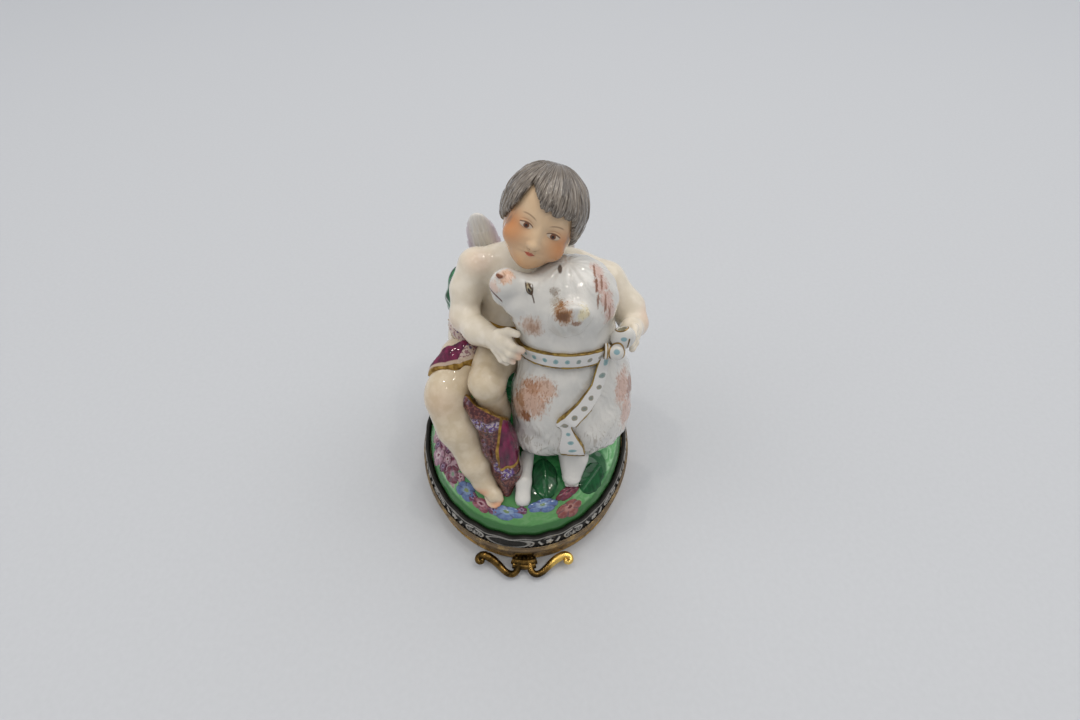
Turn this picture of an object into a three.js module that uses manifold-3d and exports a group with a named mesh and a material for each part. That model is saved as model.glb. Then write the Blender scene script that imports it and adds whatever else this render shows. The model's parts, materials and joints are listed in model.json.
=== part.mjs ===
// A porcelain bonbonniere in millimetres, +Z up, its front towards -Y.
// A winged boy hugs a seated dog on a flowered mound. The mound is hollow and closed by a hinged metal mount:
// the base half stands on the table and the figure half tips back on the hinge behind.
import * as THREE from "three";
import { mergeVertices } from "three/addons/utils/BufferGeometryUtils.js";
import Module from "manifold-3d";

const wasm = await Module();
wasm.setup();

// The oval of the mount, measured over its gilt moulding
const halfWidth = 25;
const halfDepth = 30;

// Running and bedding clearance between turned pieces, and the joint left between the modelled ones
const clearance = 0.3;
const modelledGap = 0.45;

// Base half: a rim with a seat for the floor plaque, and an upstanding flange that closes the box by friction
const baseRimHeight = 3.9;
const baseRimInset = 0.7;
const baseRimWall = 2.2;
const seatThickness = 0.8;
const plaqueSeat = 1.6;
const plaqueHollow = 0.5;
const flangeFoot = 0.5;
const flangeWall = 0.6;
const flangeRise = 2.1;

// Figure half: the gilt moulding that carries the porcelain, and the silver gallery around the porcelain's foot
const mouldingHeight = 2.1;
const mouldingLedge = 1.1;
const mouldingInner = 4.0;
const galleryInset = 0.85;
const galleryHeight = 4.1;
const galleryLean = 0.4;
const galleryWall = 0.7;
const scallopCount = 28;
const scallopDepth = 0.6;

// The hollow porcelain mound
const moundRise = 11.5;
const moundWall = 2.1;
const moundFullness = 2.4;
const moundShoulder = 0.65;

// Hinge behind the box
const knuckleRadius = 1.5;
const knuckleLength = 3.0;
const knuckleCount = 5;
const pinRadius = 0.6;
const pinClearance = 0.08;
const pinHeadRadius = 1.0;
const pinHeadLength = 0.6;
const bearerThickness = 1.2;

// Gilt thumbpiece in front
const thumbWidth = 20.4;
const thumbReach = 2.7;
const thumbWire = 0.75;
const thumbHeight = 2.0;
const voluteRadius = 1.2;

// The dog's ribbon
const collarWidth = 2.8;
const collarLift = THREE.MathUtils.degToRad(18);
const collarProud = 0.8;
const ribbonWidth = 4;
const ribbonLift = 1.5;

// The figures are modelled as a master over a mount of its own width and depth, and that high above the mound's
// crown. The cast group is drawn to the mount and the height that are wanted here.
const groupHeight = 60;
const masterWidth = 50;
const masterDepth = 60;
const masterHeight = 60;

// How coarsely the modelled forms are faceted, and the sides of the oval work
const fineStep = 1.3;
const middleStep = 1.9;
const broadStep = 2.4;
const ovalSides = 48;

const parting = baseRimHeight + clearance / 2;
const mouldingFoot = baseRimHeight + clearance;
const moundCrown = mouldingFoot + mouldingLedge + clearance + moundRise;
const hingeY = halfDepth + knuckleRadius + clearance + 0.1;
const figureScale = new THREE.Vector3(
  (2 * halfWidth) / masterWidth,
  (2 * halfDepth) / masterDepth,
  groupHeight / masterHeight,
);
const leastScale = Math.min(...figureScale.toArray());

const colours = {
  gilt: [0xb98a3e, 0.3, 0.9],
  silver: [0x57534c, 0.4, 0.85],
  porcelain: [0xf2efe9, 0.12, 0],
  green: [0x6fae6d, 0.12, 0],
  darkGreen: [0x1f6b3a, 0.12, 0],
  skin: [0xefd9c0, 0.12, 0],
  hair: [0x8a827c, 0.2, 0],
  purple: [0x7c1d5c, 0.12, 0],
  blue: [0x6f83c9, 0.12, 0],
  pink: [0xd78aa4, 0.12, 0],
  red: [0xa8324f, 0.12, 0],
};
const assembly = new THREE.Group();

function addPiece(name, geometry, colour, parent = assembly) {
  const [color, roughness, metalness] = colours[colour];
  const material = new THREE.MeshStandardMaterial({ color, roughness, metalness });
  const mesh = new THREE.Mesh(geometry, material);
  mesh.name = name;
  parent.add(mesh);
  return mesh;
}

// Solids for joining and cutting

function toSolid(geometry) {
  const bare = geometry.index ? geometry.toNonIndexed() : geometry.clone();
  bare.deleteAttribute("normal");
  bare.deleteAttribute("uv");
  const merged = mergeVertices(bare, 1e-4);
  const vertProperties = new Float32Array(merged.attributes.position.array);
  const triVerts = new Uint32Array(merged.index.array);
  return new wasm.Manifold(new wasm.Mesh({ numProp: 3, vertProperties, triVerts }));
}

function toGeometry(solid) {
  const { vertProperties, triVerts } = solid.getMesh();
  const geometry = new THREE.BufferGeometry();
  geometry.setAttribute("position", new THREE.BufferAttribute(vertProperties, 3));
  geometry.setIndex(new THREE.BufferAttribute(triVerts, 1));
  geometry.computeVertexNormals();
  return geometry;
}

function joined(...geometries) {
  const solids = geometries.map(toSolid);
  return toGeometry(solids.slice(1).reduce((whole, next) => whole.add(next), solids[0]));
}

// Oval turned work: a lathed geometry stretched along Y. Outside the inset it keeps its wall thickness all round,
// and inside it a dome or floor is drawn out evenly, so that the two meet in one surface.
function toOval(geometry, inset = halfWidth) {
  const spread = halfDepth - halfWidth;
  const reach = halfWidth - inset;
  const position = geometry.attributes.position;
  for (let i = 0; i < position.count; i++) {
    const radius = Math.hypot(position.getX(i), position.getY(i));
    const stretch = radius > reach ? 1 + spread / radius : 1 + spread / reach;
    if (radius > 0) position.setY(i, position.getY(i) * stretch);
  }
  return geometry;
}

// A closed profile of [distance in from the moulding, height], run from the outer foot upwards
function ovalRing(profile, sides = ovalSides) {
  const points = profile.map(([inset, z]) => new THREE.Vector2(halfWidth - inset, z));
  return toOval(new THREE.LatheGeometry([...points, points[0]], sides).rotateX(Math.PI / 2));
}

// A profile of [radius, height] that starts and ends on the axis
function ovalDisc(profile, inset, sides = ovalSides) {
  const points = profile.map(([radius, z]) => new THREE.Vector2(radius, z));
  return toOval(new THREE.LatheGeometry(points, sides).rotateX(Math.PI / 2), inset);
}

// Modelled forms: each is { distance(x, y, z), box }, negative inside, in master units with z from the mound's crown

function egg([cx, cy, cz], [rx, ry, rz], [ax, ay, az] = [0, 0, 0]) {
  const turn = new THREE.Matrix4()
    .makeRotationFromEuler(new THREE.Euler(...[ax, ay, az].map(THREE.MathUtils.degToRad)))
    .invert();
  const e = turn.elements;
  const reach = Math.max(rx, ry, rz);
  const distance = (x, y, z) => {
    const dx = x - cx;
    const dy = y - cy;
    const dz = z - cz;
    const u = (e[0] * dx + e[4] * dy + e[8] * dz) / rx;
    const v = (e[1] * dx + e[5] * dy + e[9] * dz) / ry;
    const w = (e[2] * dx + e[6] * dy + e[10] * dz) / rz;
    const near = Math.hypot(u, v, w);
    const slope = Math.hypot(u / rx, v / ry, w / rz);
    return slope < 1e-9 ? -Math.min(rx, ry, rz) : (near * (near - 1)) / slope;
  };
  return { distance, box: new THREE.Box3().expandByPoint(new THREE.Vector3(cx, cy, cz)).expandByScalar(reach) };
}

function limb([ax, ay, az], [bx, by, bz], startRadius, endRadius) {
  const lx = bx - ax;
  const ly = by - ay;
  const lz = bz - az;
  const square = lx * lx + ly * ly + lz * lz;
  const distance = (x, y, z) => {
    const along = ((x - ax) * lx + (y - ay) * ly + (z - az) * lz) / square;
    const t = THREE.MathUtils.clamp(along, 0, 1);
    const gap = Math.hypot(x - ax - t * lx, y - ay - t * ly, z - az - t * lz);
    return gap - startRadius - t * (endRadius - startRadius);
  };
  const box = new THREE.Box3().setFromPoints([new THREE.Vector3(ax, ay, az), new THREE.Vector3(bx, by, bz)]);
  return { distance, box: box.expandByScalar(Math.max(startRadius, endRadius)) };
}

// Limbs joined end to end through [x, y, z, radius] stations
function chain(softness, ...stations) {
  const links = stations.slice(1).map((to, i) => {
    const from = stations[i];
    return limb(from.slice(0, 3), to.slice(0, 3), from[3], to[3]);
  });
  return blend(softness, ...links);
}

function smoothMin(a, b, softness) {
  const h = Math.max(softness - Math.abs(a - b), 0) / softness;
  return Math.min(a, b) - (h * h * softness) / 4;
}

function blend(softness, ...forms) {
  const box = forms.reduce((whole, form) => whole.union(form.box), new THREE.Box3());
  const distance = (x, y, z) =>
    forms.reduce((sum, form) => smoothMin(sum, form.distance(x, y, z), softness), 1e3);
  return { distance, box };
}

// A form cut back so that it lies one joint off each neighbour
function clearOf(form, ...neighbours) {
  const gap = modelledGap / leastScale;
  const distance = (x, y, z) =>
    neighbours.reduce((sum, other) => Math.max(sum, gap - other.distance(x, y, z)), form.distance(x, y, z));
  return { distance, box: form.box };
}

// The shell of a form: from inner to outer away from its surface, kept where keep is negative
function wrap(form, inner, outer, keep) {
  const distance = (x, y, z) => {
    const d = form.distance(x, y, z);
    return Math.max(d - outer, inner - d, keep(x, y, z));
  };
  return { distance, box: form.box.clone().expandByScalar(outer) };
}

// A form carried to its own place and turn in degrees, such as the head
function placed(form, [px, py, pz], [ax, ay, az]) {
  const euler = new THREE.Euler(...[ax, ay, az].map(THREE.MathUtils.degToRad), "ZXY");
  const there = new THREE.Matrix4().makeRotationFromEuler(euler).setPosition(px, py, pz);
  const e = there.clone().invert().elements;
  const distance = (x, y, z) =>
    form.distance(
      e[0] * x + e[4] * y + e[8] * z + e[12],
      e[1] * x + e[5] * y + e[9] * z + e[13],
      e[2] * x + e[6] * y + e[10] * z + e[14],
    );
  return { distance, box: form.box.clone().applyMatrix4(there) };
}

// The faces of a grid cell, as the four corners in turn, and its twelve edges. Corner c is at (c & 1, c >> 1 & 1, c >> 2).
const cellFaces = [[0, 2, 6, 4], [1, 3, 7, 5], [0, 1, 5, 4], [2, 3, 7, 6], [0, 1, 3, 2], [4, 5, 7, 6]];
const cellEdges = [0, 1, 2, 3, 4, 5, 6, 7].flatMap((c) => [1, 2, 4].filter((bit) => !(c & bit)).map((bit) => [c, c | bit]));
const edgeKey = (a, b) => Math.min(a, b) * 8 + Math.max(a, b);

// The crossed edges of a cell, gathered into the separate sheets of surface that pass through it
function sheetsIn(inside) {
  const group = new Map();
  for (const [a, b] of cellEdges) if (inside[a] !== inside[b]) group.set(edgeKey(a, b), edgeKey(a, b));
  const root = (key) => (group.get(key) === key ? key : root(group.get(key)));
  for (const face of cellFaces) {
    const crossed = face.map((c, n) => [c, face[(n + 1) % 4]]).filter(([a, b]) => inside[a] !== inside[b]);
    if (crossed.length === 2) group.set(root(edgeKey(...crossed[0])), root(edgeKey(...crossed[1])));
    if (crossed.length < 4) continue;
    face.forEach((c, n) => {
      if (inside[c]) group.set(root(edgeKey(c, face[(n + 1) % 4])), root(edgeKey(c, face[(n + 3) % 4])));
    });
  }
  return [...group.keys()].map((key) => [key, root(key)]);
}

// The skin of a form by surface nets: a vertex for each sheet in a cell, and a quad across each crossed grid edge.
// Only the largest closed skin is kept, so a crumb left by a cut doesn't count as a piece.
function skin(form, step) {
  const low = form.box.min.clone().subScalar(2 * step);
  const [nx, ny, nz] = form.box.max.clone().sub(low).divideScalar(step).ceil().addScalar(3).toArray();
  const index = (i, j, k) => (k * ny + j) * nx + i;
  const value = new Float64Array(nx * ny * nz);
  for (let k = 0; k < nz; k++)
    for (let j = 0; j < ny; j++)
      for (let i = 0; i < nx; i++)
        value[index(i, j, k)] = form.distance(low.x + i * step, low.y + j * step, low.z + k * step);

  const positions = [];
  const vertexAt = new Map();
  for (let k = 0; k < nz - 1; k++)
    for (let j = 0; j < ny - 1; j++)
      for (let i = 0; i < nx - 1; i++) {
        const cell = index(i, j, k);
        const at = [0, 1, nx, nx + 1, nx * ny, nx * ny + 1, nx * ny + nx, nx * ny + nx + 1].map((n) => value[cell + n]);
        const inside = at.map((v) => v < 0);
        if (inside.every((v) => v === inside[0])) continue;
        const sums = new Map();
        for (const [key, sheet] of sheetsIn(inside)) {
          const [a, b] = [key >> 3, key & 7];
          const t = at[a] / (at[a] - at[b]);
          const sum = sums.get(sheet) ?? [0, 0, 0, 0, positions.length / 3 + sums.size];
          for (let n = 0; n < 3; n++) sum[n] += ((a >> n) & 1) + t * (((b >> n) & 1) - ((a >> n) & 1));
          sum[3] += 1;
          sums.set(sheet, sum);
          vertexAt.set(cell * 64 + key, sum[4]);
        }
        for (const [sx, sy, sz, n] of sums.values())
          positions.push(low.x + (i + sx / n) * step, low.y + (j + sy / n) * step, low.z + (k + sz / n) * step);
      }

  const triangles = [];
  const hops = [1, nx, nx * ny];
  for (let k = 1; k < nz - 1; k++)
    for (let j = 1; j < ny - 1; j++)
      for (let i = 1; i < nx - 1; i++)
        for (const axis of [0, 1, 2]) {
          const start = index(i, j, k);
          const here = value[start] < 0;
          if (here === value[start + hops[axis]] < 0) continue;
          const [u, v] = [(axis + 1) % 3, (axis + 2) % 3];
          const bits = [0, 1 << u, (1 << u) | (1 << v), 1 << v];
          const quad = bits.map((corner) => {
            const back = ((corner >> u) & 1) * hops[u] + ((corner >> v) & 1) * hops[v];
            return vertexAt.get((start - back) * 64 + edgeKey(corner, corner | (1 << axis)));
          });
          if (!here) quad.reverse();
          triangles.push([quad[0], quad[1], quad[2]], [quad[0], quad[2], quad[3]]);
        }
  return largestSkin(positions, triangles);
}

function largestSkin(positions, triangles) {
  const parent = Array.from({ length: positions.length / 3 }, (_, i) => i);
  const root = (i) => {
    while (parent[i] !== i) i = parent[i] = parent[parent[i]];
    return i;
  };
  for (const [a, b, c] of triangles) {
    parent[root(a)] = root(b);
    parent[root(b)] = root(c);
  }
  const sizes = new Map();
  for (const [a] of triangles) sizes.set(root(a), (sizes.get(root(a)) ?? 0) + 1);
  const main = [...sizes].sort((a, b) => b[1] - a[1])[0][0];
  const kept = new Map();
  const points = [];
  const faces = [];
  for (const triangle of triangles.filter(([a]) => root(a) === main))
    for (const vertex of triangle) {
      if (!kept.has(vertex)) {
        kept.set(vertex, kept.size);
        points.push(...positions.slice(3 * vertex, 3 * vertex + 3));
      }
      faces.push(kept.get(vertex));
    }
  const geometry = new THREE.BufferGeometry();
  geometry.setAttribute("position", new THREE.Float32BufferAttribute(points, 3));
  geometry.setIndex(faces);
  geometry.computeVertexNormals();
  return geometry;
}

// Metal and porcelain of the two halves

const lipInset = galleryInset + galleryWall + galleryLean + clearance;
const domeWidth = halfWidth - lipInset;
const domeDepth = halfDepth - lipInset;
const ledgeTop = mouldingFoot + mouldingLedge;
const galleryFoot = ledgeTop + clearance;
const galleryTop = galleryFoot + galleryHeight;
const domeTop = (radius, width, lip, crown) =>
  lip + (crown - lip) * Math.max(0, 1 - (radius / width) ** moundFullness) ** moundShoulder;
const domeRadii = [0.99, 0.95, 0.86, 0.7, 0.45];

const baseHalf = new THREE.Group();
const figureHalf = new THREE.Group();
const figures = new THREE.Group();
assembly.add(baseHalf, figureHalf);
figureHalf.add(figures);
figures.position.z = moundCrown;
figures.scale.copy(figureScale);

const rimInner = baseRimInset + baseRimWall;
const seatInner = rimInner + plaqueSeat;
const plaqueTop = baseRimHeight - flangeFoot - clearance;
addPiece(
  "base_rim",
  ovalRing([
    [baseRimInset + 0.4, 0],
    [baseRimInset, 0.5],
    [baseRimInset, baseRimHeight - 0.5],
    [baseRimInset + 0.4, baseRimHeight],
    [rimInner, baseRimHeight],
    [rimInner, seatThickness],
    [seatInner, seatThickness],
    [seatInner, 0],
  ]),
  "gilt",
  baseHalf,
);

const plaqueInset = rimInner + clearance;
const plaqueRadius = halfWidth - plaqueInset;
addPiece(
  "base_plaque",
  ovalDisc(
    [
      [0, plaqueHollow + seatThickness],
      [plaqueRadius - plaqueSeat, seatThickness + clearance],
      [plaqueRadius, seatThickness + clearance],
      [plaqueRadius, plaqueTop],
      [plaqueRadius - plaqueSeat, plaqueTop],
      [0, plaqueTop - plaqueHollow],
    ],
    plaqueInset,
  ),
  "porcelain",
  baseHalf,
);

const flangeOuter = mouldingInner + clearance;
const flangeInner = flangeOuter + flangeWall;
const flangeTop = baseRimHeight + flangeRise;
addPiece(
  "closing_flange",
  ovalRing([
    [plaqueInset, plaqueTop + clearance],
    [plaqueInset, baseRimHeight],
    [flangeOuter, baseRimHeight],
    [flangeOuter, flangeTop - 0.3],
    [flangeOuter + 0.2, flangeTop],
    [flangeInner, flangeTop],
    [flangeInner, plaqueTop + clearance],
  ]),
  "gilt",
  baseHalf,
);

addPiece(
  "body_moulding",
  ovalRing([
    [0.5, mouldingFoot],
    [0.05, mouldingFoot + 0.45],
    [0, mouldingFoot + mouldingHeight / 2],
    [0.1, mouldingFoot + mouldingHeight - 0.4],
    [0.25, mouldingFoot + mouldingHeight],
    [galleryInset - clearance, mouldingFoot + mouldingHeight],
    [galleryInset - clearance, ledgeTop],
    [mouldingInner, ledgeTop],
    [mouldingInner, mouldingFoot],
  ]),
  "gilt",
  figureHalf,
);

const gallery = ovalRing(
  [
    [galleryInset, galleryFoot],
    [galleryInset, galleryFoot + 1],
    [galleryInset + 0.55 * galleryLean, galleryFoot + 0.6 * galleryHeight],
    [galleryInset + galleryLean, galleryTop],
    [galleryInset + galleryLean + galleryWall, galleryTop],
    [galleryInset + 0.55 * galleryLean + galleryWall, galleryFoot + 0.6 * galleryHeight],
    [galleryInset + galleryWall, galleryFoot + 1],
    [galleryInset + galleryWall, galleryFoot],
  ],
  2 * scallopCount,
);
const edge = gallery.attributes.position;
for (let i = 0; i < edge.count; i++) {
  const around = Math.atan2(edge.getY(i) * (halfWidth / halfDepth), edge.getX(i));
  const dip = edge.getZ(i) > galleryTop - 0.01 ? scallopDepth * (0.5 - 0.5 * Math.cos(scallopCount * around)) : 0;
  edge.setZ(i, edge.getZ(i) - dip);
}
addPiece("silver_gallery", gallery, "silver", figureHalf);

const moundFootInset = galleryInset + galleryWall + clearance;
const innerWidth = domeWidth - moundWall;
const moundInnerFoot = ((halfDepth - mouldingInner) * domeWidth) / domeDepth;
const innerLip = galleryTop - moundWall / 2;
const innerCrown = moundCrown - moundWall;
addPiece(
  "mound",
  ovalDisc(
    [
      [0, innerCrown],
      ...domeRadii.toReversed().map((part) => [
        part * innerWidth,
        domeTop(part * innerWidth, innerWidth, innerLip, innerCrown),
      ]),
      [moundInnerFoot, galleryFoot],
      [halfWidth - moundFootInset, galleryFoot],
      [halfWidth - moundFootInset, galleryFoot + 1],
      [domeWidth, galleryTop - 0.4],
      ...domeRadii.map((part) => [part * domeWidth, domeTop(part * domeWidth, domeWidth, galleryTop - 0.4, moundCrown)]),
      [0, moundCrown],
    ],
    lipInset,
  ),
  "green",
  figureHalf,
);

// Thumbpiece: two scrolled wires that spring from a small plate on the base rim
const thumbRoot = baseRimInset - halfDepth - clearance;
const scrollEnd = thumbWidth / 2 - voluteRadius;
function scroll(side) {
  const path = new THREE.CatmullRomCurve3(
    [
      [0.12, 0.3, 0],
      [0.12, -1.7, 0],
      [0.26, -thumbReach, -0.3],
      [0.48, -thumbReach + 0.4, -0.2],
      [0.68, -1.1, 0.1],
      [0.88, 0.5, 0.4],
      [1.03, 0.8, 0.5],
      [1.08, -0.4, 0.3],
    ].map(([share, y, z]) => new THREE.Vector3(side * share * scrollEnd, thumbRoot - 0.6 + y, thumbHeight + z)),
  );
  const section = new THREE.Shape().absarc(0, 0, thumbWire, 0, 2 * Math.PI);
  const wire = new THREE.ExtrudeGeometry(section, { steps: 14, bevelEnabled: false, curveSegments: 4, extrudePath: path });
  const end = path.getPoint(1);
  const volute = new THREE.SphereGeometry(voluteRadius, 8, 6).translate(end.x, end.y, end.z);
  return joined(wire, volute);
}
const thumbPlate = new THREE.BoxGeometry(4.2, 1.2, 2.4).translate(0, thumbRoot - 0.6, thumbHeight);
addPiece("thumbpiece", joined(thumbPlate, scroll(1), scroll(-1)), "gilt", baseHalf);

// Hinge: two knuckles on the base half, three on the figure half, and one pin through all five
const knucklePitch = knuckleLength + clearance;
const knuckleX = (n) => (n - (knuckleCount - 1) / 2) * knucklePitch;
const alongX = (radius, length, sides = 16) =>
  new THREE.CylinderGeometry(radius, radius, length, sides).rotateZ(Math.PI / 2);
const ovalPrism = (inset, low, high) =>
  ovalDisc([[0, low], [halfWidth - inset, low], [halfWidth - inset, high], [0, high]], inset);

function hingeLeaf(numbers, mountInset, low, high) {
  const solids = [];
  for (const n of numbers) {
    const knuckle = alongX(knuckleRadius, knuckleLength).translate(knuckleX(n), hingeY, parting);
    solids.push(toSolid(knuckle));
  }
  const width = knuckleX(numbers.at(-1)) - knuckleX(numbers[0]) + knuckleLength;
  const bearer = new THREE.BoxGeometry(width, hingeY - halfDepth + 2 * bearerThickness, high - low);
  const centreY = (hingeY + halfDepth - 2 * bearerThickness) / 2;
  let leaf = toSolid(bearer.translate(0, centreY, (low + high) / 2));
  for (let n = 0; n < knuckleCount; n++) {
    if (numbers.includes(n)) continue;
    const room = alongX(knuckleRadius + clearance, knucklePitch + clearance).translate(knuckleX(n), hingeY, parting);
    leaf = leaf.subtract(toSolid(room));
  }
  for (const solid of solids) leaf = leaf.add(solid);
  leaf = leaf.subtract(toSolid(ovalPrism(mountInset - clearance, low - 5, high + 5)));
  const bore = alongX(pinRadius + pinClearance, 3 * knuckleCount * knuckleLength, 12).translate(0, hingeY, parting);
  return toGeometry(leaf.subtract(toSolid(bore)));
}
addPiece("base_hinge", hingeLeaf([1, 3], baseRimInset, 0.6, parting - clearance / 2), "gilt", baseHalf);
addPiece(
  "body_hinge",
  hingeLeaf([0, 2, 4], 0, parting + clearance / 2, mouldingFoot + mouldingHeight - 0.4),
  "gilt",
  figureHalf,
);
const hingeLength = knuckleCount * knuckleLength + (knuckleCount - 1) * clearance;
const pinHead = (side) =>
  alongX(pinHeadRadius, pinHeadLength, 12).translate(side * (hingeLength / 2 + clearance + pinHeadLength / 2), 0, 0);
const pin = joined(alongX(pinRadius, hingeLength + 2 * clearance + pinHeadLength, 12), pinHead(1), pinHead(-1));
addPiece("hinge_pin", pin.translate(0, hingeY, parting), "gilt", baseHalf);

// The ground under the figures, in their own units
const ground = {
  distance: (x, y, z) => {
    const top = (px, py) => domeTop(Math.hypot(px, (py * domeWidth) / domeDepth), domeWidth, galleryTop - 0.4, moundCrown);
    const [px, py] = [x * figureScale.x, y * figureScale.y];
    const slope = Math.hypot(1, (top(px * 0.98, py * 0.98) - top(px, py)) / (0.02 * Math.hypot(px, py) + 0.001));
    return (z * figureScale.z + moundCrown - top(px, py)) / slope / figureScale.z;
  },
};

function addFigure(name, form, step, colour) {
  addPiece(name, skin(form, step), colour, figures);
}

// Boy
const headPlace = [4.2, 2, 50.2];
const headTurn = [-12, 23, -4];
const neckTop = [headPlace[0] - 1.2, headPlace[1] + 1.4, headPlace[2] - 6.2];
const torsoForm = blend(
  3,
  egg([-1.6, 5.6, 33], [7.4, 5.3, 7.6]),
  egg([-3, 5.2, 26], [6.4, 5.4, 6.2]),
  egg([-5.6, 3.6, 21], [7.6, 6.4, 6]),
  egg([-10.4, 1.8, 21], [5, 5.2, 5.4]),
  limb([-5.6, 5, 36.8], [8, 6, 36.4], 3, 3),
  limb([1.3, 5, 38], neckTop, 3, 2.7),
);
const faceForm = blend(
  2,
  egg([0, 0.5, 0.6], [6.3, 6.8, 6.4]),
  egg([0, -1.3, -3.4], [5.6, 5.6, 5.3]),
  egg([0, -4.4, -6.6], [2.3, 2, 1.8]),
  egg([0, -6.9, -2.2], [1, 1.1, 1.3]),
);
const hairCap = blend(2, egg([0, 0.4, 0.9], [7.1, 7.9, 6.7]), egg([0, 1.6, -2], [7, 6.6, 5.4]));
const hairLocks = {
  distance: (x, y, z) => {
    const skull = faceForm.distance(x, y, z) + 2.4;
    const sideward = THREE.MathUtils.smoothstep(Math.abs(x) + 0.9 * Math.max(y, 0), 3.6, 6.4);
    const fringe = 2.4 - 0.35 * Math.min(x, 0);
    const hem = THREE.MathUtils.lerp(fringe, -3.8 - 0.5 * y, sideward);
    return Math.max(hairCap.distance(x, y, z), -skull, (hem - z) * 0.44);
  },
  box: hairCap.box,
};
const hairForm = placed(hairLocks, headPlace, headTurn);
const headForm = placed(faceForm, headPlace, headTurn);
const rightArmForm = blend(
  1.4,
  chain(
    1.2,
    [-8.4, 4.4, 36.8, 3.7],
    [-10.4, 2.4, 33, 3.1],
    [-11, -1, 29, 2.7],
    [-8.2, -4.8, 29, 2.5],
    [-5, -7.8, 30, 2],
  ),
  egg([-3, -9.4, 30.6], [2.8, 2, 2.2], [0, -20, -35]),
);
const leftArmForm = blend(
  1.4,
  chain(
    1.2,
    [10, 5.6, 35.6, 3.6],
    [16, 4.2, 33.6, 3.5],
    [20.4, 1.6, 29, 3.2],
    [21.4, -1.4, 27.6, 2.6],
    [20.8, -3.6, 28.4, 2],
  ),
  egg([20.2, -4.8, 29.4], [2, 2.2, 1.8]),
);
const rightLegForm = blend(
  1.5,
  chain(
    1.5,
    [-8.6, 2, 20, 5],
    [-12, -3.5, 19.6, 4.5],
    [-14.8, -9.3, 16.8, 4.1],
    [-13, -13.3, 9.5, 3.8],
    [-10.2, -16.8, 2.6, 3],
    [-8.6, -18.9, -1.2, 2.4],
  ),
  limb([-8.4, -18.4, -1.9], [-6.2, -21.6, -2.6], 2, 1.7),
);
const leftLegForm = chain(
  1.5,
  [-2, 1, 19, 5],
  [-5.8, -5.5, 21.2, 3.9],
  [-6.7, -10.6, 21, 3.3],
  [-6, -9, 10, 3.2],
  [-5.4, -8, -3, 2.7],
);
const leftFoot = blend(1.5, leftLegForm, limb([-5.4, -8, -2.4], [-3.6, -12, -2.6], 2.4, 1.9));

// Dog
const dogBodyForm = blend(
  3,
  egg([10.4, -3.6, 13], [12, 11.4, 13.4]),
  egg([10.2, -7.6, 8.4], [11.8, 9.8, 9.2]),
  egg([6.6, -8.6, 14.5], [8.8, 7.6, 11.5]),
  egg([8.4, -5, 23.5], [9, 7.8, 6]),
);
const dogHeadForm = blend(
  2.4,
  egg([8.8, -4, 36.3], [8.5, 7.6, 8]),
  egg([8.3, -4.8, 30], [9, 7.6, 6]),
  egg([3.4, -6.2, 33], [4.4, 4, 4.6]),
  egg([1.8, -7, 36.4], [3.7, 3.4, 3.6]),
  limb([2.3, -5.8, 39], [-2.3, -6.8, 42.2], 3.2, 2.3),
);
const dogForm = blend(2, dogBodyForm, dogHeadForm);
const collarCentre = new THREE.Vector3(8.2, -5.2, 26.8);
const collarNormal = new THREE.Vector3(0, Math.sin(collarLift), Math.cos(collarLift));
const collarPlane = (x, y, z) => new THREE.Vector3(x, y, z).sub(collarCentre).dot(collarNormal);
const halfGap = clearance / leastScale / 2;
const dogBody = {
  distance: (x, y, z) => Math.max(dogForm.distance(x, y, z), collarPlane(x, y, z) + collarWidth / 2 + halfGap),
  box: dogBodyForm.box,
};
const dogHead = {
  distance: (x, y, z) => Math.max(dogForm.distance(x, y, z), collarWidth / 2 + halfGap - collarPlane(x, y, z)),
  box: dogHeadForm.box,
};
const collarForm = {
  distance: (x, y, z) =>
    Math.max(dogForm.distance(x, y, z) - collarProud, Math.abs(collarPlane(x, y, z)) - collarWidth / 2 + halfGap),
  box: new THREE.Box3().setFromCenterAndSize(collarCentre, new THREE.Vector3(22, 20, 13)),
};
const nearEar = egg([8, -11.6, 38.8], [2.8, 1.6, 3.3], [20, 15, 0]);
const leftForeleg = chain(1, [0.2, -16, 4.6, 1.9], [-0.3, -20.2, -0.2, 1.5], [-0.2, -22.8, -3.4, 1.6]);
const rightForeleg = chain(1, [9.8, -14.6, 2, 2.8], [10.1, -17.8, -1.2, 2.1]);
const dogTail = chain(1, [18, 5, 2, 3], [15.6, 11.5, 0.2, 2.6], [10.4, 16.5, -1, 2]);

// Ribbon: a bow of two loops and a knot on the collar, and one long end that folds back over the chest
const bowForm = blend(
  0.8,
  egg([16.4, -9.4, 28.2], [1.6, 1.9, 1.9]),
  egg([18.6, -9.4, 31.2], [2.3, 1.6, 2.5], [0, 10, 0]),
  egg([18, -10.6, 27.2], [2.4, 1.7, 1.9], [0, 30, 0]),
);
const ribbonPath = [
  [15.6, -11.4, 26.4],
  [14.2, -14, 22.9],
  [11.4, -15.8, 19.2],
  [8.6, -17.2, 15.2],
  [9.6, -17.4, 8],
];
const ribbonForm = {
  distance: (x, y, z) => {
    const d = dogForm.distance(x, y, z);
    const runs = ribbonPath.slice(1).map((to, i) => limb(ribbonPath[i], to, 0, 0).distance(x, y, z));
    return Math.max(d - ribbonLift, 2 * halfGap - d, Math.min(...runs) - ribbonWidth / 2);
  },
  box: new THREE.Box3().setFromPoints(ribbonPath.map((p) => new THREE.Vector3(...p))).expandByScalar(3.4),
};

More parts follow.
